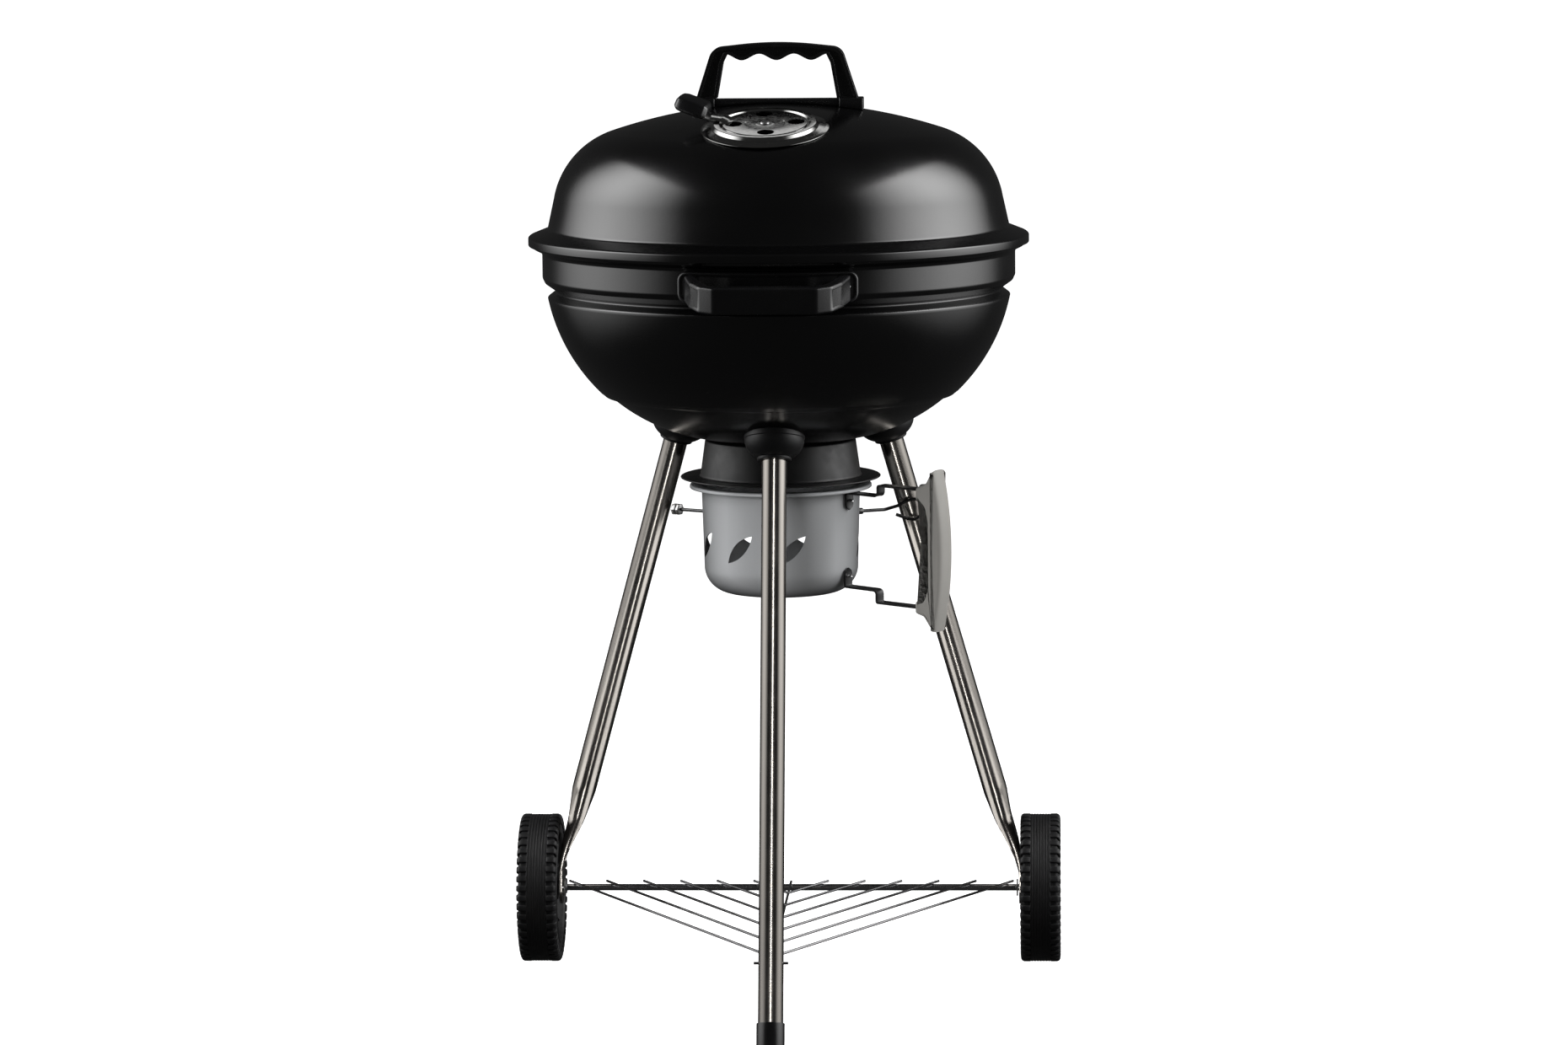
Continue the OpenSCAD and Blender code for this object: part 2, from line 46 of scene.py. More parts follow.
xAxis = Matrix.Rotation(math.radians(90), 4, "Y")  # a turned piece's own axis laid along +X
upright = Matrix.Rotation(math.radians(90), 4, "X")  # a flat outline (x, y) stood up in the x-z plane


# ---- mesh helpers: everything below is in millimetres, and a matrix puts it in its place ----

def addObject(name, mesh):
    ob = bpy.data.objects.new(name, mesh)
    bpy.context.scene.collection.objects.link(ob)
    return ob


def shape(name, points, faces=(), edges=(), place=kettle):
    mesh = bpy.data.meshes.new(name)
    mesh.from_pydata([place @ (Vector(p) * mm) for p in points], list(edges), list(faces))
    mesh.update()
    return addObject(name, mesh)


def freeze(ob):
    # leaves the modifiers' result as a plain mesh
    graph = bpy.context.evaluated_depsgraph_get()
    made = bpy.data.meshes.new_from_object(ob.evaluated_get(graph), depsgraph=graph)
    old = ob.data
    ob.modifiers.clear()
    ob.data = made
    made.name = ob.name
    bpy.data.meshes.remove(old)
    return ob


def tidyMesh(ob, gap=0.00001):
    work = bmesh.new()
    work.from_mesh(ob.data)
    bmesh.ops.remove_doubles(work, verts=work.verts, dist=gap)
    bmesh.ops.recalc_face_normals(work, faces=work.faces)
    work.to_mesh(ob.data)
    work.free()
    return ob


def join(name, parts):
    work = bmesh.new()
    for part in parts:
        work.from_mesh(part.data)
    mesh = bpy.data.meshes.new(name)
    work.to_mesh(mesh)
    work.free()
    for part in parts:
        bpy.data.objects.remove(part)
    return addObject(name, mesh)


def drop(ob):
    bpy.data.objects.remove(ob)


def cut(ob, cutter):
    knife = ob.modifiers.new("cut", "BOOLEAN")
    knife.operation = "DIFFERENCE"
    knife.solver = "EXACT"
    knife.object = cutter
    freeze(ob)
    drop(cutter)
    return ob


def soften(ob, width, steps=3, angle=35):
    edge = ob.modifiers.new("edges", "BEVEL")
    edge.width = width * mm
    edge.segments = steps
    edge.limit_method = "ANGLE"
    edge.angle_limit = math.radians(angle)
    edge.miter_outer = "MITER_ARC"
    return freeze(ob)


def dress(ob, paint, body, slotName, *nodes, sharp=40):
    # material, shading, the body that it rides on and the CAD nodes that it stands for
    if paint:
        ob.data.materials.clear()
        ob.data.materials.append(paint)
    ob.data.polygons.foreach_set("use_smooth", [True] * len(ob.data.polygons))
    ob.data.set_sharp_from_angle(angle=math.radians(sharp))
    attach(ob, body)
    if nodes:
        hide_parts(*nodes)
    return ob


def arcPoints(centre, radius, first, last, count):
    steps = [math.radians(first + (last - first) * i / count) for i in range(count + 1)]
    return [(centre[0] + radius * math.cos(a), centre[1] + radius * math.sin(a)) for a in steps]


def rounded(points, radius, count=5, closed=False):
    # rounds the corners of a flat path; radius is one number or one for each point
    sizes = [radius] * len(points) if isinstance(radius, (int, float)) else list(radius)
    out = []
    total = len(points)
    for i, p in enumerate(points):
        here = Vector(p)
        if not closed and i in (0, total - 1):
            out.append(tuple(here))
            continue
        back = Vector(points[i - 1]) - here
        on = Vector(points[(i + 1) % total]) - here
        turn = math.pi - back.angle(on)
        if sizes[i] <= 0 or turn < 0.02:
            out.append(tuple(here))
            continue
        reach = min(sizes[i] * math.tan(turn / 2), back.length * 0.48, on.length * 0.48)
        start, end = here + back.normalized() * reach, here + on.normalized() * reach
        for k in range(count + 1):
            t = k / count
            low = start.lerp(here, t)
            out.append(tuple(low.lerp(here.lerp(end, t), t)))
    return out


def offset(path, distance, closed=False):
    # moves a flat path to its right-hand side
    out = []
    total = len(path)
    for i, p in enumerate(path):
        back = Vector(path[i - 1] if closed or i else path[0])
        on = Vector(path[(i + 1) % total] if closed or i < total - 1 else path[-1])
        way = (on - back)
        if way.length < 1e-9:
            way = Vector((1, 0))
        way.normalize()
        out.append((p[0] + way[1] * distance, p[1] - way[0] * distance))
    return out


def wallOf(path, thickness, lip=3):
    # a sheet's closed profile: outer path from the axis to the lip, a round lip, and back inside
    inner = [(max(r, 0.0), z) for r, z in offset(path, thickness)]
    if path[0][0] == 0:
        inner[0] = (0.0, inner[0][1])
    end, endIn = Vector(path[-1]), Vector(inner[-1])
    middle, half = (end + endIn) / 2, (end - endIn) / 2
    side = Vector((half[1], -half[0]))
    lead = end - Vector(path[-2])
    if side.dot(lead) < 0:
        side = -side
    turn = [tuple(middle + half * math.cos(a) + side * math.sin(a))
            for a in [math.pi * k / (lip + 1) for k in range(1, lip + 1)]]
    return list(path) + turn + inner[::-1]


# ---- Geometry Nodes tools ----

def newTree(name, *inputs):
    tree = bpy.data.node_groups.new(name, "GeometryNodeTree")
    tree.interface.new_socket("Geometry", in_out="INPUT", socket_type="NodeSocketGeometry")
    for label, kind in inputs:
        tree.interface.new_socket(label, in_out="INPUT", socket_type="NodeSocket" + kind)
    tree.interface.new_socket("Geometry", in_out="OUTPUT", socket_type="NodeSocketGeometry")
    return tree, tree.nodes.new("NodeGroupInput"), tree.nodes.new("NodeGroupOutput")


def setInputs(modifier, values):
    for item in modifier.node_group.interface.items_tree:
        if item.item_type == "SOCKET" and item.in_out == "INPUT" and item.name in values:
            modifier[item.identifier] = values[item.name]


def grow(ob, tree, **values):
    modifier = ob.modifiers.new(tree.name, "NODES")
    modifier.node_group = tree
    setInputs(modifier, {key.replace("_", " "): value for key, value in values.items()})
    return freeze(ob)


def makeTurnTree():
    # a profile (radius - 1 m, -height) swept round a circle of 1 m, with its poles merged
    tree, start, end = newTree("turnedSheet", ("Segments", "Int"), ("Paint", "Material"))
    add, link = tree.nodes.new, tree.links.new
    curve, ring = add("GeometryNodeMeshToCurve"), add("GeometryNodeCurvePrimitiveCircle")
    ring.inputs["Radius"].default_value = 1
    sweep, weld = add("GeometryNodeCurveToMesh"), add("GeometryNodeMergeByDistance")
    weld.inputs["Distance"].default_value = 0.000005
    real, paint = add("GeometryNodeRealizeInstances"), add("GeometryNodeSetMaterial")
    link(start.outputs["Geometry"], curve.inputs["Mesh"])
    link(start.outputs["Segments"], ring.inputs["Resolution"])
    link(ring.outputs["Curve"], sweep.inputs["Curve"])
    link(curve.outputs["Curve"], sweep.inputs["Profile Curve"])
    link(sweep.outputs["Mesh"], weld.inputs["Geometry"])
    link(weld.outputs["Geometry"], real.inputs["Geometry"])
    link(real.outputs["Geometry"], paint.inputs["Geometry"])
    link(start.outputs["Paint"], paint.inputs["Material"])
    link(paint.outputs["Geometry"], end.inputs["Geometry"])
    return tree


def makeWireTree():
    # every path of edges becomes a round wire with rounded corners and closed ends
    tree, start, end = newTree("bentWires", ("Wire radius", "Float"), ("Corner radius", "Float"),
                               ("Sides", "Int"), ("Paint", "Material"))
    add, link = tree.nodes.new, tree.links.new
    curve, fillet = add("GeometryNodeMeshToCurve"), add("GeometryNodeFilletCurve")
    fillet.mode = "POLY"
    fillet.inputs["Count"].default_value = 6
    fillet.inputs["Limit Radius"].default_value = True
    ring, sweep = add("GeometryNodeCurvePrimitiveCircle"), add("GeometryNodeCurveToMesh")
    sweep.inputs["Fill Caps"].default_value = True
    real, paint = add("GeometryNodeRealizeInstances"), add("GeometryNodeSetMaterial")
    link(start.outputs["Geometry"], curve.inputs["Mesh"])
    link(curve.outputs["Curve"], fillet.inputs["Curve"])
    link(start.outputs["Corner radius"], fillet.inputs["Radius"])
    link(start.outputs["Sides"], ring.inputs["Resolution"])
    link(start.outputs["Wire radius"], ring.inputs["Radius"])
    link(fillet.outputs["Curve"], sweep.inputs["Curve"])
    link(ring.outputs["Curve"], sweep.inputs["Profile Curve"])
    link(sweep.outputs["Mesh"], real.inputs["Geometry"])
    link(real.outputs["Geometry"], paint.inputs["Geometry"])
    link(start.outputs["Paint"], paint.inputs["Material"])
    link(paint.outputs["Geometry"], end.inputs["Geometry"])
    return tree


def makeFastenerTree():
    # one copy of a pattern piece on each point, its +Z turned to the point's own direction
    tree, start, end = newTree("fasteners", ("Pattern", "Object"), ("Paint", "Material"))
    add, link = tree.nodes.new, tree.links.new
    pattern, copies = add("GeometryNodeObjectInfo"), add("GeometryNodeInstanceOnPoints")
    way, size, turn = (add("GeometryNodeInputNamedAttribute") for _ in range(3))
    way.data_type, size.data_type, turn.data_type = "FLOAT_VECTOR", "FLOAT", "FLOAT"
    way.inputs["Name"].default_value = "direction"
    size.inputs["Name"].default_value = "size"
    turn.inputs["Name"].default_value = "turn"
    aim, spin = add("FunctionNodeAlignRotationToVector"), add("FunctionNodeRotateRotation")
    aim.axis = "Z"
    spin.rotation_space = "LOCAL"
    euler, combine = add("FunctionNodeEulerToRotation"), add("ShaderNodeCombineXYZ")
    real, paint = add("GeometryNodeRealizeInstances"), add("GeometryNodeSetMaterial")
    link(start.outputs["Geometry"], copies.inputs["Points"])
    link(start.outputs["Pattern"], pattern.inputs["Object"])
    link(pattern.outputs["Geometry"], copies.inputs["Instance"])
    link(way.outputs["Attribute"], aim.inputs["Vector"])
    link(turn.outputs["Attribute"], combine.inputs["Z"])
    link(combine.outputs["Vector"], euler.inputs["Euler"])
    link(aim.outputs["Rotation"], spin.inputs["Rotation"])
    link(euler.outputs["Rotation"], spin.inputs["Rotate By"])
    link(spin.outputs["Rotation"], copies.inputs["Rotation"])
    link(size.outputs["Attribute"], copies.inputs["Scale"])
    link(copies.outputs["Instances"], real.inputs["Geometry"])
    link(real.outputs["Geometry"], paint.inputs["Geometry"])
    link(start.outputs["Paint"], paint.inputs["Material"])
    link(paint.outputs["Geometry"], end.inputs["Geometry"])
    return tree


turnTree, wireTree, fastenerTree = makeTurnTree(), makeWireTree(), makeFastenerTree()


def turned(name, profile, segments=96, place=kettle, closed=False):
    # a lathe-turned piece from a profile of (radius, height)
    points = [(r * mm - 1, -z * mm, 0) for r, z in profile]
    edges = [(i, i + 1) for i in range(len(points) - 1)]
    if closed:
        edges.append((len(points) - 1, 0))
    mesh = bpy.data.meshes.new(name)
    mesh.from_pydata(points, edges, [])
    ob = grow(addObject(name, mesh), turnTree, Segments=segments)
    ob.data.transform(place)
    return tidyMesh(ob)


def wires(name, paths, radius, corner=0.0, sides=12, place=kettle):
    points, edges = [], []
    for path in paths:
        loop = path[0] == path[-1]
        path = path[:-1] if loop else path
        first = len(points)
        points += path
        edges += [(first + i, first + i + 1) for i in range(len(path) - 1)]
        if loop:
            edges.append((first + len(path) - 1, first))
    ob = shape(name, points, edges=edges, place=place)
    grow(ob, wireTree, Wire_radius=radius * mm, Corner_radius=corner * mm, Sides=sides)
    return tidyMesh(ob, 0.000002)


def fasten(name, pattern, spots, place=kettle):
    # spots: (point, direction, size, turn)
    ob = shape(name, [s[0] for s in spots], place=place)
    turnOnly = place.to_3x3()
    way = ob.data.attributes.new("direction", "FLOAT_VECTOR", "POINT")
    size = ob.data.attributes.new("size", "FLOAT", "POINT")
    turn = ob.data.attributes.new("turn", "FLOAT", "POINT")
    for i, s in enumerate(spots):
        way.data[i].vector = turnOnly @ Vector(s[1])
        size.data[i].value = s[2]
        turn.data[i].value = s[3]
    return grow(ob, fastenerTree, Pattern=pattern)


# ---- forms that several pieces share ----

def plate(name, outline, low, high, place=kettle):
    # an outline (x, y) given a height, closed top and bottom
    total = len(outline)
    points = [(x, y, low) for x, y in outline] + [(x, y, high) for x, y in outline]
    sides = [(i, (i + 1) % total, total + (i + 1) % total, total + i) for i in range(total)]
    faces = sides + [tuple(range(total))[::-1], tuple(range(total, 2 * total))]
    return tidyMesh(shape(name, points, faces, place=place))


def loft(name, rings, place=kettle, closed=False):
    # joins rings of equal point count and closes both ends
    count = len(rings[0])
    points = [p for ring in rings for p in ring]
    faces = []
    for k in range(len(rings) - (0 if closed else 1)):
        a, b = k * count, ((k + 1) % len(rings)) * count
        faces += [(a + i, a + (i + 1) % count, b + (i + 1) % count, b + i) for i in range(count)]
    if not closed:
        faces += [tuple(range(count))[::-1], tuple(range((len(rings) - 1) * count, len(rings) * count))]
    return tidyMesh(shape(name, points, faces, place=place))


def rimmedPlate(name, outline, border, half, web, place=kettle):
    # a flat moulding with a raised border and a sunk web on both faces
    inside = offset(outline, -border, closed=True)
    area = lambda loop: sum(loop[i - 1][0] * loop[i][1] - loop[i][0] * loop[i - 1][1] for i in range(len(loop)))
    if abs(area(inside)) > abs(area(outline)):
        inside = offset(outline, border, closed=True)
    rings = []
    for loop, height in ((inside, -web), (inside, -half), (outline, -half), (outline, half), (inside, half), (inside, web)):
        rings.append([(x, y, height) for x, y in loop])
    return loft(name, rings, place=place)


def makeScrew(name, radius, height, recess=True):
    # pan head with a cross recess, its seat at the origin and its axis up
    profile = [(0, height)] + arcPoints((0, height - radius * 1.6), radius * 1.6, 80, 58, 5)
    profile = [(0, height)] + [(r, z) for r, z in profile[1:] if r < radius * 0.94] + \
        [(radius * 0.97, height * 0.42), (radius, height * 0.25), (radius, 0), (radius * 0.5, -0.6), (0, -0.6)]
    head = turned(name, profile, 20, Matrix.Identity(4))
    if recess:
        arm, wide = radius * 0.56, radius * 0.13
        cross = [(wide, wide), (arm, wide), (arm, -wide), (wide, -wide), (wide, -arm), (-wide, -arm), (-wide, -wide),
                 (-arm, -wide), (-arm, wide), (-wide, wide), (-wide, arm), (wide, arm)]
        cut(head, plate("cross", cross, height * 0.45, height + 2, Matrix.Identity(4)))
    return head


# ---- materials ----

class Paint:
    # a Principled material with a few node shortcuts; patterns read Object coordinates
    def __init__(self, name, colour, roughness, metallic=0.0, coat=0.0, coatRoughness=0.1, level=0.5, ior=1.5):
        self.mat = bpy.data.materials.new(name)
        self.mat.use_nodes = True
        self.tree = self.mat.node_tree
        self.shader = self.tree.nodes["Principled BSDF"]
        self.colour = colour
        self.shader.inputs["Base Color"].default_value = (*colour, 1)
        self.shader.inputs["Roughness"].default_value = roughness
        self.shader.inputs["Metallic"].default_value = metallic
        self.shader.inputs["Coat Weight"].default_value = coat
        self.shader.inputs["Coat Roughness"].default_value = coatRoughness
        self.shader.inputs["Specular IOR Level"].default_value = level
        self.shader.inputs["IOR"].default_value = ior
        self.where = self.tree.nodes.new("ShaderNodeTexCoord").outputs["Object"]
        self.bump = None

    def put(self, kind, **settings):
        node = self.tree.nodes.new(kind)
        for key, value in settings.items():
            setattr(node, key, value)
        return node

    def mapped(self, stretch=(1, 1, 1), shift=(0, 0, 0), turn=(0, 0, 0)):
        source = self.where
        if any(turn):
            first = self.put("ShaderNodeMapping")
            first.inputs["Rotation"].default_value = turn
            self.tree.links.new(source, first.inputs["Vector"])
            source = first.outputs["Vector"]
        node = self.put("ShaderNodeMapping")
        node.inputs["Scale"].default_value = stretch
        node.inputs["Location"].default_value = shift
        self.tree.links.new(source, node.inputs["Vector"])
        return node.outputs["Vector"]

    def noise(self, scale, detail=3.0, stretch=(1, 1, 1), rough=0.5, turn=(0, 0, 0)):
        node = self.put("ShaderNodeTexNoise")
        node.inputs["Scale"].default_value = scale
        node.inputs["Detail"].default_value = detail
        node.inputs["Roughness"].default_value = rough
        self.tree.links.new(self.mapped(stretch, turn=turn), node.inputs["Vector"])
        return node.outputs["Fac"]

    def cells(self, scale, stretch=(1, 1, 1)):
        node = self.put("ShaderNodeTexVoronoi")
        node.inputs["Scale"].default_value = scale
        self.tree.links.new(self.mapped(stretch), node.inputs["Vector"])
        return node.outputs["Distance"]

    def spread(self, value, low, high, out0, out1):
        node = self.put("ShaderNodeMapRange")
        for key, number in (("From Min", low), ("From Max", high), ("To Min", out0), ("To Max", out1)):
            node.inputs[key].default_value = number
        self.tree.links.new(value, node.inputs["Value"])
        return node.outputs["Result"]

    def edges(self, low=0.52, high=0.6):
        # 1 on convex edges, where the materials paint a lighter highlight line along them
        return self.spread(self.put("ShaderNodeNewGeometry").outputs["Pointiness"], low, high, 0.0, 1.0)

    def tint(self, fac, colour):
        # lays a second colour over what is there, by a mask
        node = self.put("ShaderNodeMix", data_type="RGBA")
        base = self.shader.inputs["Base Color"]
        if base.links:
            self.tree.links.new(base.links[0].from_socket, node.inputs[6])
        else:
            node.inputs[6].default_value = base.default_value
        node.inputs[7].default_value = (*colour, 1)
        self.tree.links.new(fac, node.inputs[0])
        self.tree.links.new(node.outputs[2], base)
        return self

    def gloss(self, value):
        self.tree.links.new(value, self.shader.inputs["Roughness"])
        return self

    def relief(self, height, strength, distance):
        node = self.put("ShaderNodeBump")
        node.inputs["Strength"].default_value = strength
        node.inputs["Distance"].default_value = distance
        self.tree.links.new(height, node.inputs["Height"])
        if self.bump:
            self.tree.links.new(self.bump, node.inputs["Normal"])
        self.bump = node.outputs["Normal"]
        self.tree.links.new(self.bump, self.shader.inputs["Normal"])
        return self


def makeEnamel():
    # glossy black porcelain: faint orange peel, soft smears, tiny specks
    e = Paint("kettleEnamel", (0.0016, 0.0016, 0.0018), 0.2, ior=1.78)
    e.gloss(e.spread(e.noise(9, 4), 0.3, 0.75, 0.17, 0.25))
    e.tint(e.spread(e.noise(900, 1), 0.74, 0.8, 0.0, 0.5), (0.02, 0.02, 0.022))
    e.relief(e.noise(420, 2), 0.05, 0.0004)
    e.relief(e.noise(30, 2), 0.05, 0.002)
    return e.mat


def makeGlossPlastic():
    p = Paint("handlePlastic", (0.006, 0.006, 0.0065), 0.22, ior=1.65)
    p.gloss(p.spread(p.noise(35, 4), 0.3, 0.7, 0.2, 0.32))
    # painted highlight: convex edges are coloured lighter
    p.tint(p.edges(), (0.02, 0.02, 0.022))
    p.relief(p.noise(650, 2), 0.08, 0.0003)
    return p.mat


def makeSocketPlastic():
    p = Paint("socketPlastic", (0.014, 0.014, 0.015), 0.42, level=0.45)
    p.gloss(p.spread(p.noise(60, 4), 0.3, 0.7, 0.36, 0.5))
    p.tint(p.spread(p.noise(25, 3), 0.45, 0.8, 0, 0.6), (0.024, 0.024, 0.025))
    p.relief(p.noise(1100, 3), 0.25, 0.0003)
    return p.mat


def makeTyrePlastic():
    p = Paint("wheelPlastic", (0.016, 0.016, 0.017), 0.5, level=0.4)
    p.gloss(p.spread(p.noise(80, 4), 0.3, 0.7, 0.42, 0.6))
    p.tint(p.spread(p.noise(18, 5), 0.5, 0.85, 0, 0.7), (0.035, 0.034, 0.033))
    # painted highlight: convex edges are coloured lighter
    p.tint(p.edges(0.53, 0.66), (0.04, 0.04, 0.042))
    p.relief(p.noise(900, 4), 0.35, 0.0003)
    return p.mat


def makeBrushed(name, turn):
    # stainless tube, ground along its length; turn lays the streaks along the leg
    s = Paint(name, (0.22, 0.206, 0.19), 0.2, metallic=1.0)
    streak = s.noise(700, 4, stretch=(1, 1, 0.012), turn=turn)
    s.gloss(s.spread(s.noise(25, 2), 0.3, 0.7, 0.17, 0.23))
    s.tint(s.spread(streak, 0.35, 0.75, 0.0, 0.35), (0.15, 0.14, 0.128))
    s.tint(s.spread(s.noise(12, 3), 0.5, 0.8, 0.0, 0.3), (0.25, 0.234, 0.215))
    return s.mat


def makePolished():
    s = Paint("polishedSteel", (0.42, 0.42, 0.41), 0.2, metallic=1.0)
    fine = s.noise(300, 5)
    s.gloss(s.spread(fine, 0.3, 0.7, 0.09, 0.2))
    s.tint(s.spread(s.noise(60, 3), 0.5, 0.8, 0, 0.4), (0.36, 0.36, 0.35))
    s.relief(fine, 0.04, 0.0002)
    return s.mat


def makeZinc():
    s = Paint("zincSteel", (0.6, 0.6, 0.6), 0.3, metallic=1.0)
    grain = s.cells(1400)
    s.gloss(s.spread(grain, 0, 0.8, 0.22, 0.42))
    s.tint(s.spread(s.noise(250, 3), 0.5, 0.8, 0, 0.5), (0.42, 0.42, 0.43))
    s.relief(grain, 0.08, 0.0001)
    return s.mat


def makeChrome():
    s = Paint("wireChrome", (0.56, 0.56, 0.57), 0.17, metallic=1.0)
    s.gloss(s.spread(s.noise(160, 4), 0.3, 0.7, 0.12, 0.26))
    s.tint(s.spread(s.noise(90, 3), 0.55, 0.85, 0, 0.5), (0.3, 0.3, 0.31))
    s.relief(s.noise(800, 2), 0.05, 0.0001)
    return s.mat


def makeRodSteel():
    s = Paint("rodSteel", (0.13, 0.13, 0.13), 0.3, metallic=1.0)
    s.gloss(s.spread(s.noise(120, 4), 0.3, 0.7, 0.24, 0.4))
    s.tint(s.spread(s.noise(70, 3), 0.5, 0.8, 0, 0.5), (0.07, 0.07, 0.07))
    return s.mat


def makeGrateSteel():
    s = Paint("grateSteel", (0.34, 0.335, 0.33), 0.34, metallic=1.0)
    s.gloss(s.spread(s.noise(120, 5), 0.3, 0.7, 0.28, 0.5))
    s.tint(s.spread(s.noise(22, 5), 0.45, 0.8, 0, 0.7), (0.16, 0.15, 0.14))
    s.relief(s.noise(700, 3), 0.15, 0.0002)
    return s.mat


def makeSheetBlack(name, roughness, colour):
    # satin black baked on sheet steel
    p = Paint(name, colour, roughness, level=0.5)
    p.gloss(p.spread(p.noise(70, 4), 0.3, 0.7, roughness - 0.05, roughness + 0.09))
    # painted highlight: convex edges are coloured lighter
    p.tint(p.edges(0.54, 0.68), (0.06, 0.06, 0.062))
    p.relief(p.noise(1500, 3), 0.2, 0.0002)
    return p.mat


def makePotPaint():
    # grey aluminium-bronze paint, with fine flake, a few dull smears and painted shade towards its outline
    p = Paint("potPaint", (0.52, 0.531, 0.543), 0.46, metallic=0.15, level=0.2)
    flake = p.cells(2600)
    p.gloss(p.spread(p.noise(40, 4), 0.3, 0.7, 0.36, 0.5))
    p.tint(p.spread(flake, 0.1, 0.7, 0.0, 0.35), (0.64, 0.654, 0.668))
    p.tint(p.spread(p.noise(9, 4), 0.5, 0.8, 0, 0.3), (0.48, 0.49, 0.5))
    # painted shade: the colour darkens where the surface turns away from the view
    facing = p.put("ShaderNodeLayerWeight").outputs["Facing"]
    p.tint(p.spread(facing, 0.3, 0.8, 0.0, 0.8), (0.12, 0.123, 0.127))
    p.relief(flake, 0.06, 0.0001)
    return p.mat


def makeCutEdge():
    s = Paint("bareEdge", (0.55, 0.55, 0.56), 0.35, metallic=1.0)
    s.relief(s.noise(1800, 2), 0.3, 0.0001)
    return s.mat


def makeHandleGrey():
    # matt warm grey moulded plastic
    p = Paint("gripGrey", (0.42, 0.408, 0.382), 0.55, level=0.4)
    p.gloss(p.spread(p.noise(50, 4), 0.3, 0.7, 0.48, 0.64))
    p.tint(p.spread(p.noise(14, 4), 0.45, 0.8, 0, 0.45), (0.37, 0.359, 0.334))
    # painted highlight: convex edges are coloured lighter
    p.tint(p.edges(0.54, 0.7), (0.48, 0.466, 0.438))
    p.relief(p.noise(1300, 3), 0.25, 0.0002)
    return p.mat


def makeHubGrey():
    p = Paint("hubGrey", (0.3, 0.3, 0.3), 0.45, metallic=0.2)
    p.gloss(p.spread(p.noise(80, 4), 0.3, 0.7, 0.38, 0.54))
    p.tint(p.spread(p.noise(30, 4), 0.5, 0.85, 0, 0.4), (0.2, 0.2, 0.2))
    p.relief(p.noise(1200, 3), 0.2, 0.0002)
    return p.mat


enamel = makeEnamel()
handleBlack = makeGlossPlastic()
socketBlack = makeSocketPlastic()
tyreBlack = makeTyrePlastic()
polished = makePolished()
zinc = makeZinc()
chrome = makeChrome()
rodSteel = makeRodSteel()
grateSteel = makeGrateSteel()
collarBlack = makeSheetBlack("collarBlack", 0.42, (0.006, 0.006, 0.0065))
strapBlack = makeSheetBlack("strapBlack", 0.3, (0.012, 0.012, 0.013))
potPaint = makePotPaint()
bareEdge = makeCutEdge()
gripGrey = makeHandleGrey()
hubGrey = makeHubGrey()
print("materials made")


# ---- lid ----

lidSize = dict(top=909.4, dome=537, shoulder=87, draft=10.2, footR=232.5, footZ=785, flange=253.5, sheet=1.5)
damperSize = dict(off=125, side=-3, tilt=math.degrees(math.asin(125 / 537)), pitch=31, hole=8.7, turn=7, tabTurn=168)


def lidProfile(s):
    domeZ = s["top"] - s["dome"]
    slope = math.tan(math.radians(s["draft"]))
    line = s["footR"] - s["shoulder"] / math.cos(math.radians(s["draft"]))
    rise = s["footZ"] - domeZ
    a, b = 1 + slope * slope, rise - line * slope
    c = line * line + rise * rise - (s["dome"] - s["shoulder"]) ** 2
    up = (-b + math.sqrt(b * b - a * c)) / a
    centre = (line - up * slope, s["footZ"] + up)
    turn = math.degrees(math.atan2(centre[1] - domeZ, centre[0]))
    path = arcPoints((0, domeZ), s["dome"], 90, turn, 22)
    path += arcPoints(centre, s["shoulder"], turn - 2, s["draft"], 30)
    flange = rounded([path[-1], (s["footR"] + 1.3, s["footZ"] - 0.4), (s["flange"] - 1.6, s["footZ"] - 7.6),
                      (s["flange"], 776), (s["flange"], 769)], [0, 4.5, 5, 2.4, 0], 6)
    path[0] = (0, path[0][1])
    return path[:-1] + flange[:], domeZ


lidPath, domeZ = lidProfile(lidSize)
tilt = math.radians(damperSize["tilt"])
onDome = kettle @ Matrix.Rotation(math.radians(damperSize["side"]), 4, "Z") @ Matrix.Translation((0, -damperSize["off"] * mm, (domeZ + lidSize["dome"] * math.cos(tilt)) * mm)) @ \
    Matrix.Rotation(tilt, 4, "X")


def ventCutters(radius, low, high):
    holes = []
    for k in range(4):
        a = math.radians(damperSize["turn"] + 90 * k)
        c = (damperSize["pitch"] * math.cos(a), damperSize["pitch"] * math.sin(a))
        holes.append(plate("ventKnife", arcPoints(c, radius, 0, 360 - 11.25, 31), low, high, onDome))
    holes.append(plate("ventKnife", arcPoints((0, 0), 3.05, 0, 337.5, 15), low, high, onDome))
    return join("ventKnives", holes)


lid = turned("lidShell", wallOf(lidPath, lidSize["sheet"], 5), 224)
cut(lid, ventCutters(9, -7, 7))
dress(lid, enamel, "lid", "enamel_black", "lid", sharp=50)
print("lid made")

# ---- damper in the lid ----

seatPath = rounded([(0, 1.4), (44.0, 1.4), (45.4, 3.6), (51.2, 3.6), (53.2, -0.1), (58.8, -1.5), (63.4, -2.4)],
                   [0, 0.6, 1.0, 1.3, 1.3, 4, 0], 5)
seat = turned("damperSeat", wallOf(seatPath, 0.9, 3), 128, onDome)
cut(seat, ventCutters(damperSize["hole"], -4, 5))
dress(seat, polished, "lid", "polished_steel", "damper_seat", sharp=40)

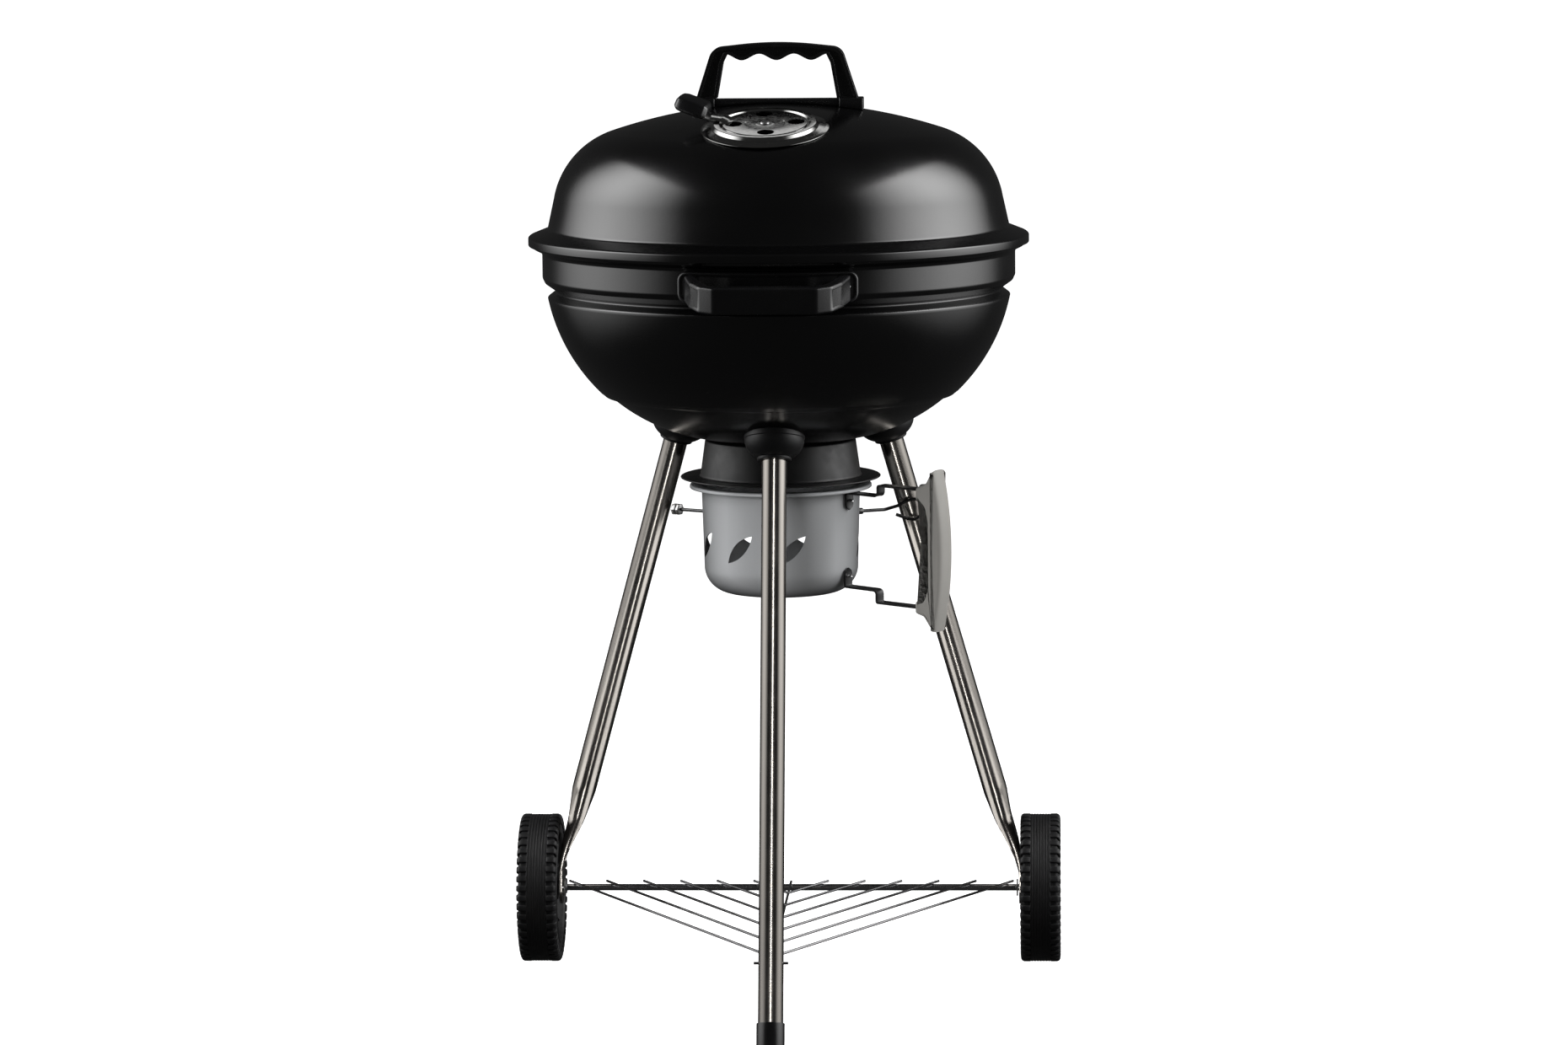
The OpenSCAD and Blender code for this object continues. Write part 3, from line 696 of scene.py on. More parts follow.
discPath = rounded([(0, 2.65), (8, 2.65), (9.5, 2.5), (19, 2.5), (20.2, 2.9), (41.6, 2.9), (42.5, 2.4)],
                   [0, 1.5, 1.5, 1.2, 1.2, 0.8, 0], 4)
disc = turned("damperDisc", wallOf(discPath, 0.9, 2), 112, onDome)
cut(disc, ventCutters(8.5, -1, 6))
tabPath = rounded([(33, 3.0), (37, 3.0), (44, 5.9), (58, 7.0), (75, 12.6)], 3, 5)
tabUnder = offset(tabPath, 0.95)
tabTurn = onDome @ Matrix.Rotation(math.radians(damperSize["tabTurn"]), 4, "Z")
tabRings = []
for (x, z), (xb, zb) in zip(tabPath, tabUnder):
    w = 11.5 - 2.8 * max(0.0, min(1.0, (x - 34) / 40))
    tabRings.append([(x, -w, z), (x, w, z), (xb, w, zb), (xb, -w, zb)])
tab = soften(loft("damperTab", tabRings, tabTurn), 0.25, 2)
disc = join("damperDisc", [disc, tab])
dress(disc, polished, "damper", "polished_steel", "damper_disc", sharp=40)
polishedPieces = [seat, disc]

# the knob: a six-sided prism on its side, its corners planed
knobPlace = tabTurn @ Matrix.Translation((0.075, 0, 0.0135)) @ Matrix.Rotation(math.radians(-17), 4, "Y")
knobRings = []
for x, s in ((-17, 0.66), (-13.5, 0.97), (-3, 1.0), (9, 1.0), (14, 0.9), (17, 0.6)):
    outline = [(-16, 0.6), (-8.5, -5.3), (8.5, -5.3), (16, 0.6), (9.6, 9.6), (-9.6, 9.6)]
    knobRings.append([(x, y * s, z * s + 0.4) for y, z in outline])
knob = soften(loft("damperKnob", knobRings, knobPlace), 1.1, 3, 15)
dress(knob, handleBlack, "damper", "handle_black", "damper_knob", sharp=30)

rivet = turned("damperRivet", [(0, 5.0), (2.2, 4.8), (3.6, 4.2), (4.4, 3.4), (4.7, 3.0), (4.7, 2.95), (3.0, 2.9), (3.0, -3.6),
                               (5.6, -3.6), (6.0, -3.2), (6.0, -2.6), (5.6, -2.3), (2.0, -2.3), (0, -2.3)][:8] +
               [(3.0, -2.4), (6, -2.4), (6, -3.4), (5.4, -4), (0, -4)], 32, onDome)
dress(rivet, zinc, "lid", "zinc_steel", "damper_rivet", sharp=35)
print("damper made")

# ---- lid handle ----

gripSize = dict(foot=915, half=12.5, web=8.2, border=3.6, wave=3.2, pitch=35)
wave = [(x, 956.5 - gripSize["wave"] * math.cos(math.radians(x * 360 / gripSize["pitch"]))) for x in
        [50 - 1.25 * i for i in range(81)]]
gripInner = rounded([(60.5, gripSize["foot"]), (54.3, 950.5)] + wave[::1] + [(-54.3, 950.5), (-60.5, gripSize["foot"])],
                    [0, 6] + [0] * len(wave) + [6, 0], 6)
gripOuter = [(-81.5, gripSize["foot"])] + arcPoints((-55, 953), 13.5, 160, 98, 9) + \
    [(x, 970.5 - x * x / 700) for x in range(-40, 41, 5)] + arcPoints((55, 953), 13.5, 82, 20, 9) + [(81.5, gripSize["foot"])]
grip = rimmedPlate("lidGrip", gripInner + gripOuter, gripSize["border"], gripSize["half"], gripSize["web"],
                   kettle @ upright)
soften(grip, 1.0, 3, 35)
dress(grip, handleBlack, "lid", "handle_black", "lid_handle", sharp=40)


def domeBlock(name, x0, x1, half, top, gap=0.35, cellsX=12, cellsY=4):
    # a block whose underside follows the dome
    def under(x, y):
        return domeZ + math.sqrt((lidSize["dome"] + gap) ** 2 - x * x - y * y)
    points, faces = [], []
    for level in (0, 1):
        for i in range(cellsX + 1):
            for j in range(cellsY + 1):
                x, y = x0 + (x1 - x0) * i / cellsX, -half + 2 * half * j / cellsY
                points.append((x, y, top if level else under(x, y)))
    def at(level, i, j):
        return level * (cellsX + 1) * (cellsY + 1) + i * (cellsY + 1) + j
    for i in range(cellsX):
        for j in range(cellsY):
            faces.append((at(0, i, j), at(0, i, j + 1), at(0, i + 1, j + 1), at(0, i + 1, j)))
            faces.append((at(1, i, j), at(1, i + 1, j), at(1, i + 1, j + 1), at(1, i, j + 1)))
    for i in range(cellsX):
        faces.append((at(0, i, 0), at(0, i + 1, 0), at(1, i + 1, 0), at(1, i, 0)))
        faces.append((at(0, i, cellsY), at(1, i, cellsY), at(1, i + 1, cellsY), at(0, i + 1, cellsY)))
    for j in range(cellsY):
        faces.append((at(0, 0, j), at(1, 0, j), at(1, 0, j + 1), at(0, 0, j + 1)))
        faces.append((at(0, cellsX, j), at(0, cellsX, j + 1), at(1, cellsX, j + 1), at(1, cellsX, j)))
    return soften(tidyMesh(shape(name, points, faces)), 1.2, 3, 50)


base = join("lidGripBase", [domeBlock("bar", -62.6, 62.6, 11, 914), domeBlock("blockLeft", -87, -62.8, 15, 914.9),
                            domeBlock("blockRight", 62.8, 87, 15, 914.9)])
dress(base, handleBlack, "lid", "handle_black", "lid_handle_base", sharp=45)

panScrew = makeScrew("panScrew", 4, 2.2)
screwZ = domeZ + math.sqrt(537 ** 2 - 68 ** 2) - 2.5
lidScrews = fasten("lidGripScrews", panScrew, [((x, 0, screwZ), (0, 0, -1), 1.4, 0.4 + x) for x in (-68, 68)])
dress(lidScrews, zinc, "lid", "zinc_steel", "lid_handle_screws", sharp=30)
print("lid handle made")

# ---- bowl ----

bowlSize = dict(centre=(52, 751.3), curve=185.9, step=3.9, band=239.5, sheet=1.5)
dish = bowlSize["curve"] - bowlSize["step"]
bowlBottom = bowlSize["centre"][1] - dish
rim = rounded([(243.2, 774.6), (248.2, 775.8), (250.9, 774.4), (251.1, 768.4), (248.4, 765.7), (241.0, 762.2), (239.5, 759.2),
               (239.5, 735.6), (237.2, 730.6), (227.0, 723.4), (226.7, 721.2), (232.6, 716.6)],
              [0, 2.2, 2.2, 2.6, 3.5, 2.2, 2.4, 5, 4, 2.0, 1.5, 3], 5)
bowlPath = rim[:-1] + rounded([rim[-1]] + arcPoints(bowlSize["centre"], bowlSize["curve"], -11.2, -45.6, 40) +
                              [(179.0, 616.2), (177.6, 614.9)] + arcPoints(bowlSize["centre"], dish, -49.0, -90, 44) +
                              [(0, bowlBottom)], 0.6, 1)
bowl = turned("bowlShell", [(r, z) for r, z in wallOf(bowlPath[::-1], -bowlSize["sheet"], 4)], 224)
slots = []
for a in (30, 150, 270):
    outline = [(x + 48, y) for x, y in arcPoints((0, 0), 12, -90, 90, 12)] + [(x + 24, y) for x, y in arcPoints((0, 0), 12, 90, 270, 12)]
    turn = Matrix.Rotation(math.radians(a), 2)
    slots.append(plate("slot", [tuple(turn @ Vector(p)) for p in outline], 560, 585))
cut(bowl, join("slotKnives", slots))
dress(bowl, enamel, "stand", "enamel_black", "bowl", sharp=45)
print("bowl made")

# ---- bowl handle and its bracket ----

bracketSize = dict(half=88.5, low=728.5, high=758.9, corner=9, foot=239.75, face=241.6, top=242.9)


def roundBox(half, low, high, corner, shrink, count=8, straight=14):
    # a rounded box outline whose upper and lower runs share their x places
    w, r = half - shrink, max(corner - shrink, 0.8)
    lowZ, highZ = low + shrink, high - shrink
    right = [(w - r + r * math.cos(a), z) for a, z in []]
    upper = [(-w + r - r * math.cos(math.pi / 2 * k / count), highZ - r + r * math.sin(math.pi / 2 * k / count)) for k in range(count + 1)]
    upper += [(-w + r + 2 * (w - r) * k / straight, highZ) for k in range(1, straight)]
    upper += [(w - r + r * math.sin(math.pi / 2 * k / count), highZ - r + r * math.cos(math.pi / 2 * k / count)) for k in range(count + 1)]
    lower = [(x, lowZ + highZ - z) for x, z in upper[::-1]]
    return upper, lower


def bracketMesh(s):
    steps = [(0, s["foot"]), (0, s["face"] + 0.2), (0.5, s["top"] - 0.3), (1.1, s["top"]), (2.3, s["top"]), (2.9, s["top"] - 0.3),
             (3.5, s["face"] - 0.1), (4.2, s["face"] - 0.35), (5.5, s["face"] - 0.4)]
    points, rows = [], []
    for shrink, radius in steps:
        upper, lower = roundBox(s["half"], s["low"], s["high"], s["corner"], shrink)
        rows.append(len(points))
        points += [(x, -math.sqrt(radius ** 2 - x * x), z) for x, z in upper + lower]
    half = len(upper)
    total = 2 * half
    faces = []
    for a, b in zip(rows[:-1], rows[1:]):
        faces += [(a + i, a + (i + 1) % total, b + (i + 1) % total, b + i) for i in range(total)]
    for row, flip in ((rows[-1], False), (rows[0], True)):
        for i in range(half - 1):
            face = (row + i, row + i + 1, row + total - 2 - i, row + total - 1 - i)
            faces.append(face[::-1] if flip else face)
    return tidyMesh(shape("handleBracket", points, faces))


bracket = bracketMesh(bracketSize)
dress(bracket, handleBlack, "stand", "handle_black", "bowl_handle_bracket", sharp=35)

bowlGrip = dict(high=26, centreZ=742.5, slope=7, rootY=-236)
planOut = rounded([(81, -236), (74.5, -266), (65.5, -285.5), (50, -295), (-50, -295), (-65.5, -285.5), (-74.5, -266), (-81, -236)],
                  [0, 14, 10, 10, 10, 10, 14, 0], 6)
planIn = rounded([(70, -236), (62, -266), (55, -279), (46, -283), (-46, -283), (-55, -279), (-62, -266), (-70, -236)],
                 [0, 10, 6, 6, 6, 6, 10, 0], 6)


def gripRings(s):
    # a band swept along the plan: crowned top and bottom, soft edges, a shallow panel on each arm's outer face
    count = len(planOut)
    rings = []
    for (xo, yo), (xi, yi) in zip(planOut, planIn):
        across = Vector((xi - xo, yi - yo))
        thick = across.length
        across.normalize()
        h = s["high"] / 2
        arm = max(0.0, min(1.0, (abs(xo) - 64) / 4)) * max(0.0, min(1.0, (-yo - 243) / 4))
        sink = 1.1 * arm
        section = [(0.0, -h + 2.2), (0.25, -h + 1.2), (0.8, -h + 0.5), (1.8, -h + 0.1), (thick / 2, -h), (thick - 1.8, -h + 0.1),
                   (thick - 0.7, -h + 0.6), (thick, -h + 2), (thick, 0), (thick, h - 2), (thick - 0.7, h - 0.6), (thick - 1.8, h - 0.1),
                   (thick / 2, h), (1.8, h - 0.1), (0.8, h - 0.5), (0.25, h - 1.2), (0.0, h - 2.2), (0.05, h - 3.6),
                   (sink, h - 4.6), (sink, 0), (sink, -h + 4.6), (0.05, -h + 3.6)]
        ring = []
        for u, z in section:
            x, y = xo + across[0] * u, yo + across[1] * u
            lean = math.radians(s["slope"])
            ring.append((x, s["rootY"] + (y - s["rootY"]) * math.cos(lean) - z * math.sin(lean) * 0,
                         s["centreZ"] + z + (y - s["rootY"]) * math.sin(lean)))
        rings.append(ring)
    return rings


handle = loft("bowlGrip", gripRings(bowlGrip))
dress(handle, handleBlack, "stand", "handle_black", "bowl_handle", sharp=32)

boltY = -math.sqrt(239.5 ** 2 - 76 ** 2) + 1.5 + 0.6 + 2.4
bowlBolts = fasten("bowlGripBolts", panScrew, [((x, boltY, 743), (0, 1, 0), 1.7, 0.3 * x) for x in (-76, 76)])
dress(bowlBolts, zinc, "stand", "zinc_steel", "bowl_handle_bolts", sharp=30)
print("bowl handle made")

# ---- ash collar ----

collarPath = rounded([(58, bowlBottom - 0.7), (76.6, bowlBottom - 0.7), (81.4, 533.6), (82.4, 531.4), (101.0, 531.2), (101.6, 530.8)],
                     [0, 2.4, 3.5, 2.4, 0.6, 0], 6)
collar = turned("ashCollar", wallOf(collarPath, 1.3, 3) , 144, closed=True)
dress(collar, collarBlack, "stand", "collar_black", "ash_collar", sharp=45)
collarScrews = fasten("collarScrews", panScrew, [((66 * math.cos(math.radians(a)), 66 * math.sin(math.radians(a)), bowlBottom + 2.9),
                                                 (0, 0, 1), 1.2, a) for a in (90, 210, 330)])
dress(collarScrews, zinc, "stand", "zinc_steel", "collar_screws", sharp=30)
print("collar made")


# ---- legs, sockets and foot ----

legSize = dict(lean=17.8, footR=307.7, radius=12.5, wall=1.2, top=603, cupLow=589)
lean = math.radians(legSize["lean"])


def onLeg(turn, along):
    return kettle @ Matrix.Rotation(math.radians(turn), 4, "Z") @ Matrix.Translation((0, -legSize["footR"] * mm, 0)) @ \
        Matrix.Rotation(-lean, 4, "X") @ Matrix.Translation((0, 0, along * mm))


cupProfile = rounded([(0, 14.2), (12.56, 14.2), (12.56, 0.0), (16.8, 0.0)] + arcPoints((9, 22), 21, -67, -5, 14) +
                     [(29.9, 21.8), (30.5, 22.6), (30.4, 51), (0, 51)], [0, 0, 0.7, 0.9] + [0] * 15 + [0.4, 0.7, 0, 0], 4)
for turn, side in ((0, "front"), (-120, "left"), (120, "right")):
    socket = turned("socket_" + side, cupProfile, 72, onLeg(turn, legSize["cupLow"]))
    underBowl = turned("underBowl", arcPoints(bowlSize["centre"], dish + 0.25, -90, -45, 40) + [(190, 720), (0, 720), (0, bowlBottom - 0.25)][:-1],
                       160)
    cut(socket, underBowl)
    dress(socket, socketBlack, "stand", "socket_black", "leg_socket_" + side, sharp=40)
socketBolts = fasten("socketBolts", panScrew, [(tuple((kettle.inverted() @ onLeg(t, 620.5)).translation / mm),
                     tuple((kettle.inverted() @ onLeg(t, 0)).to_3x3() @ Vector((0, 0, 1))), 1.9, t) for t in (0, 120, 240)])
dress(socketBolts, zinc, "stand", "zinc_steel", "socket_bolts", sharp=30)


def brushedAlong(turn, side):
    facing = Matrix.Rotation(lean, 3, "X") @ Matrix.Rotation(math.radians(-turn), 3, "Z")
    return makeBrushed("brushedLeg_" + side, tuple(facing.to_euler()))


r, t = legSize["radius"], legSize["wall"]
legFront = turned("legFront", [(r, 5), (r, 603), (r - t, 603), (r - t, 5)], 64, onLeg(0, 0), closed=True)
dress(legFront, brushedAlong(0, "front"), "stand", "leg_steel", "leg_front", sharp=35)
brushedPieces = [legFront]

blade = dict(x=241, half=1.5, wide=16.5, roundZ=187, flatZ=95, axleZ=77.5, shift=-3)


def rearLeg(side, s):
    # a tube that is pressed flat between roundZ and flatZ and ends round the axle
    slope = math.tan(lean)
    legWay = Vector((-math.sin(lean) * math.cos(math.radians(30)), -math.sin(lean) * 0.5, math.cos(lean)))
    axleY = (legSize["footR"] - blade["axleZ"] * slope) * 0.5
    heights = [574.2, 480, 360, 280, 230, 205] + [blade["roundZ"] + 6 - 3.2 * i for i in range(31)]
    heights += [blade["axleZ"] + 10] + [blade["axleZ"] + blade["wide"] * math.sin(math.radians(a)) for a in (0, -20, -40, -55, -68, -78, -86)]
    rings = []
    for z in heights:
        reach = legSize["footR"] - max(z, blade["flatZ"] - 8) * slope
        press = max(0.0, min(1.0, (blade["roundZ"] - z) / (blade["roundZ"] - blade["flatZ"])))
        low = max(0.0, min(1.0, (blade["roundZ"] - 30 - z) / 70))
        x = reach * math.cos(math.radians(30))
        y = reach * 0.5
        x = x + (blade["x"] - x) * low ** 1.5
        y = y + (axleY + blade["shift"] - y) * low
        way = legWay.lerp(Vector((0, 0, 1)), low * low * (3 - 2 * low)).normalized()
        u = (Vector((1, 0, 0)) - way * way[0]).normalized()
        v = way.cross(u)
        flat = legSize["radius"] + 0.3 - (legSize["radius"] + 0.3 - blade["half"]) * press ** 0.9
        wide = legSize["radius"] + (blade["wide"] - legSize["radius"]) * press ** 0.6
        if z < blade["axleZ"]:
            wide = math.sqrt(max(0.5, blade["wide"] ** 2 - (blade["axleZ"] - z) ** 2))
        ring = []
        for k in range(56):
            a = 2 * math.pi * k / 56
            out = legSize["radius"] * math.cos(a)
            out = max(-flat, min(flat, out))
            ring.append((Vector((x, y, z)) + u * out + v * (wide * math.sin(a))) * 1.0)
        rings.append([(s * p[0], p[1], p[2]) for p in ring])
    return loft("leg_" + side, rings)


for side, s, turn in (("left", -1, -120), ("right", 1, 120)):
    leg = rearLeg(side, s)
    dress(leg, brushedAlong(turn, side), "stand", "leg_steel", "leg_" + side, sharp=24)
    brushedPieces.append(leg)

capProfile = rounded([(0, -9), (14, -9), (14.0, 27), (12.58, 27), (12.58, 5), (0, 5)], [0, 0, 1.0, 0.5, 0, 0], 4)
foot = turned("footCap", capProfile, 64, onLeg(0, 0))
cut(foot, plate("ground", [(-60, -380), (60, -380), (60, -240), (-60, -240)], -40, 0))
dress(foot, handleBlack, "stand", "handle_black", "foot_cap", sharp=40)
print("legs made")

# ---- axle and wheels ----

wheelSize = dict(radius=77.5, half=21, x=262, lugs=47)
axleSpot = (legSize["footR"] - wheelSize["radius"] * math.tan(lean)) * 0.5
onAxle = kettle @ Matrix.Translation((0, axleSpot * mm, wheelSize["radius"] * mm)) @ xAxis
axle = turned("axle", rounded([(0, -278), (3.5, -278), (3.5, 278), (0, 278)], [0, 0.7, 0.7, 0], 3), 40, onAxle)
dress(axle, chrome, "stand", "zinc_steel", "axle", sharp=40)
washers = []
for x in (-243.6, -237.6, 237.6, 243.6):
    washers.append(turned("washer", rounded([(3.55, x - 0.8), (9, x - 0.8), (9, x + 0.8), (3.55, x + 0.8)], 0.3, 2, closed=True), 40,
                          onAxle, closed=True))
dress(join("axleWashers", washers), zinc, "stand", "zinc_steel", "axle_washers", sharp=35)
caps = []
for s in (-1, 1):
    capShape = [(0, 281), (5.5, 280.6), (8.2, 279.2), (9, 277.4), (9, 276), (3.55, 276), (3.55, 278.3), (0, 278.3)]
    caps.append(turned("axleCap", [(r, s * x) for r, x in rounded(capShape, 0.4, 2)], 40, onAxle))
dress(join("axleCaps", caps), handleBlack, "stand", "handle_black", "axle_caps", sharp=35)


def makeRingTree():
    # copies of a pattern piece round the Z axis, each turned to face outwards
    tree, start, end = newTree("roundCopies", ("Pattern", "Object"), ("Count", "Int"), ("Paint", "Material"))
    add, link = tree.nodes.new, tree.links.new
    pattern, copies, ring = add("GeometryNodeObjectInfo"), add("GeometryNodeInstanceOnPoints"), add("GeometryNodeMeshCircle")
    ring.inputs["Radius"].default_value = 0.000001
    index, part, angle = add("GeometryNodeInputIndex"), add("ShaderNodeMath"), add("ShaderNodeMath")
    part.operation, angle.operation = "DIVIDE", "MULTIPLY"
    angle.inputs[1].default_value = 2 * math.pi
    combine, euler = add("ShaderNodeCombineXYZ"), add("FunctionNodeEulerToRotation")
    real, paint = add("GeometryNodeRealizeInstances"), add("GeometryNodeSetMaterial")
    link(start.outputs["Count"], ring.inputs["Vertices"])
    link(index.outputs[0], part.inputs[0])
    link(start.outputs["Count"], part.inputs[1])
    link(part.outputs[0], angle.inputs[0])
    link(angle.outputs[0], combine.inputs["Z"])
    link(combine.outputs[0], euler.inputs[0])
    link(ring.outputs["Mesh"], copies.inputs["Points"])
    link(start.outputs["Pattern"], pattern.inputs["Object"])
    link(pattern.outputs["Geometry"], copies.inputs["Instance"])
    link(euler.outputs[0], copies.inputs["Rotation"])
    link(copies.outputs["Instances"], real.inputs["Geometry"])
    link(real.outputs["Geometry"], paint.inputs["Geometry"])
    link(start.outputs["Paint"], paint.inputs["Material"])
    link(paint.outputs["Geometry"], end.inputs["Geometry"])
    return tree


ringTree = makeRingTree()


def roundCopies(name, pattern, count, place):
    ob = grow(shape(name, [(0, 0, 0)], place=Matrix.Identity(4)), ringTree, Pattern=pattern, Count=count)
    ob.data.transform(place)
    drop(pattern)
    return tidyMesh(ob, 0.000001)


def wheelLug(side):
    outline = [(74.4, 9.8), (76.9, 10.2), (77.5, 11.2), (77.5, 17.2), (76.7, 19.2), (74.9, 20.5), (71, 21.0), (67.4, 20.6), (67.4, 18), (72, 13)]
    centre = (73.5, 16)
    rings = []
    for y, s in ((-3.1, 0.86), (-2.6, 0.97), (-2.0, 1), (2.0, 1), (2.6, 0.97), (3.1, 0.86)):
        rings.append([(centre[0] + (r - centre[0]) * s, y, side * (centre[1] + (a - centre[1]) * s)) for r, a in outline])
    return loft("lug", rings, Matrix.Identity(4))


def wheelRib(side):
    rings = []
    for r, low, high in ((24.5, 5, 7.5), (30, 5, 10.0), (44, 5, 12.5), (50.5, 5, 16.5)):
        rings.append([(r, -1.1, side * low), (r, 1.1, side * low), (r, 0.8, side * high), (r, -0.8, side * high)])
    return loft("rib", rings, Matrix.Identity(4))


band = []
for i in range(7):
    a = -9 + 18 * i / 6
    band += [(76.9, a - 1.1), (77.2, a - 0.7), (77.2, a + 0.7), (76.9, a + 1.1)]
tyre = [(23.1, -5.5), (46, -5.5), (48, -6.5), (53, -18.4), (54.2, -20), (56, -20.6), (57.6, -20.2), (58.4, -19.4), (66, -19.2),
        (72, -18.8), (75.2, -17.2), (75.7, -15.5), (75.7, -10.6)] + band + \
       [(75.7, 10.6), (75.7, 15.5), (75.2, 17.2), (72, 18.8), (66, 19.2), (58.4, 19.4), (57.6, 20.2), (56, 20.6), (54.2, 20),
        (53, 18.4), (48, 6.5), (46, 5.5), (23.1, 5.5)]
hub = rounded([(3.55, -17), (12.4, -17), (13, -16.4), (14.6, -9), (22.9, -7.8), (26, -7.6), (26, -6.0), (22.9, -5.6), (22.9, 5.6),
               (26, 6.0), (26, 7.6), (22.9, 7.8), (14.6, 8.6), (13, 12.8), (12.4, 13.4), (3.55, 13.4)], 0.6, 2, closed=True)
for side, s in (("left", -1), ("right", 1)):
    onWheel = onAxle @ Matrix.Translation((0, 0, s * wheelSize["x"] * mm))
    outward = onWheel if s > 0 else onWheel @ Matrix.Rotation(math.pi, 4, "X")
    parts = [turned("tyre", rounded(tyre, 0.5, 2, closed=True), 192, outward, closed=True)]
    for face in (-1, 1):
        parts.append(roundCopies("lugs", wheelLug(face), wheelSize["lugs"], outward))
        parts.append(roundCopies("ribs", wheelRib(face), 10, outward))
    dress(join("wheel_" + side + "Tyre", parts), tyreBlack, "wheel_" + side, "wheel_black", "wheel_" + side, sharp=38)
    hubPiece = turned("wheelHub_" + side, hub, 64, outward, closed=True)
    dress(hubPiece, hubGrey, "wheel_" + side, "hub_grey", "hub_" + side, sharp=35)
print("wheels made")

# ---- wire rack ----

rackSize = dict(wire=1.35, places=(39, 77.5, 116, 155, 194, 233), slope=math.tan(math.radians(60)))
spineZ = wheelSize["radius"] + 3.5 + rackSize["wire"] + 0.05
rackBack = axleSpot + 7
pinY = -legSize["footR"] + 82 * math.tan(lean)
rackPaths = [[(0, pinY + 4, spineZ), (0, rackBack, spineZ)]]
for x in rackSize["places"]:
    for s in (-1, 1):
        rackPaths.append([(s * x, rackBack, spineZ + 0.6), (0, rackBack - rackSize["slope"] * x, spineZ + 0.6)])
rack = wires("rack", rackPaths, rackSize["wire"])
dress(rack, chrome, "stand", "wire_chrome", "rack", sharp=50)
pin = wires("rackPin", [[(-17, pinY, 82), (17, pinY, 82)]], rackSize["wire"])
dress(pin, chrome, "stand", "wire_chrome", "rack_pin", sharp=50)
print("rack made")

# ---- ash pot ----

potSize = dict(topR=80.7, lowR=78.4, rimZ=523, baseZ=412, corner=27, sheet=1.2)
potPath = [(0, 412)] + arcPoints((potSize["lowR"] - potSize["corner"], potSize["baseZ"] + potSize["corner"]), potSize["corner"], -90, 0, 14) + \
    rounded([(78.6, 450), (80.7, 521.8), (91.5, 521.8), (91.5, 519.8)], [0, 2.0, 1.2, 0], 5)
pot = turned("ashPot", wallOf(potPath, -potSize["sheet"], 4), 160)
pot.data.materials.clear()
pot.data.materials.append(potPaint)
pot.data.materials.append(bareEdge)


def leafOutline(length, wide):
    radius = (length ** 2 + wide ** 2) / (4 * wide)
    reach = math.degrees(math.asin(length / 2 / radius))
    lower = arcPoints((0, -(radius - wide / 2)), radius, 90 + reach, 90 - reach, 16)
    upper = [(x, -y) for x, y in lower[::-1]][1:-1]
    turn = Matrix.Rotation(math.radians(45), 2)
    return [tuple(turn @ Vector(p)) for p in lower + upper]


leaves = []
for i in range(8):
    place = kettle @ Matrix.Rotation(math.radians(90.4 + 40 * i), 4, "Z") @ Matrix.Translation((0, 0, 463 * mm)) @ upright
    leaf = plate("leaf", leafOutline(41, 13), 60, 100, place)
    leaves.append(leaf)
knives = join("leafKnives", leaves)
knives.data.materials.clear()
knives.data.materials.append(potPaint)
knives.data.materials.append(bareEdge)
knives.data.polygons.foreach_set("material_index", [1] * len(knives.data.polygons))
cut(pot, knives)
dress(pot, None, "ash_pot", "pot_grey", "ash_pot", sharp=45)
print("ash pot made")

# ---- the pot's straps and handle ----

besidePot = kettle @ Matrix.Rotation(math.radians(-30), 4, "Z")


def strap(name, path, endAt):
    # a flat strap bent along its path, its end on the pot rounded and pressed with a rim
    line = rounded(path, 3.2, 5)
    dense = [line[0]]
    for a, b in zip(line[:-1], line[1:]):
        steps = max(1, int((Vector(b) - Vector(a)).length / 2.5))
        dense += [tuple(Vector(a).lerp(Vector(b), (k + 1) / steps)) for k in range(steps)]
    inner = offset(dense, 2.2)
    rings = []
    for (u, z), (ui, zi) in zip(dense, inner):
        d = abs(z - endAt) if abs(u - path[0][0]) < 4 or abs(u - path[-1][0]) < 4 else 99
        w = 7.0 if d >= 7 else math.sqrt(max(0.6, 49 - (7 - d) ** 2))
        a, b = Vector((u, z)), Vector((ui, zi))
        e = (b - a).normalized() * 0.45
        rings.append([(a[0], -w + 0.5, a[1]), (a[0], w - 0.5, a[1]), (a[0] + e[0], w, a[1] + e[1]), (b[0] - e[0], w, b[1] - e[1]),
                      (b[0], w - 0.5, b[1]), (b[0] - e[0] * 0.8, w - 1.8, b[1] - e[1] * 0.8), (b[0] - e[0] * 0.8, -w + 1.8, b[1] - e[1] * 0.8),
                      (b[0], -w + 0.5, b[1]), (b[0] - e[0], -w, b[1] - e[1]), (a[0] + e[0], -w, a[1] + e[1])])
    return loft(name, rings, besidePot)


upperStrap = strap("strapUpper", [(80.9, 500), (80.9, 519.0), (118.5, 517.6), (118.5, 528.6), (172, 527)], 500)
dress(upperStrap, strapBlack, "ash_pot", "strap_black", "strap_upper", sharp=30)
lowerStrap = strap("strapLower", [(170, 405.4), (116.5, 407.2), (116.5, 419.4), (79, 421), (79, 441)], 441)
dress(lowerStrap, strapBlack, "ash_pot", "strap_black", "strap_lower", sharp=30)
strapScrews = fasten("strapScrews", panScrew, [((83.0, 0, 509), (1, 0, 0), 1.1, 0.5), ((81.1, 0, 432), (1, 0, 0), 1.1, 0.9)], besidePot)
dress(strapScrews, chrome, "ash_pot", "zinc_steel", "strap_screws", sharp=30)

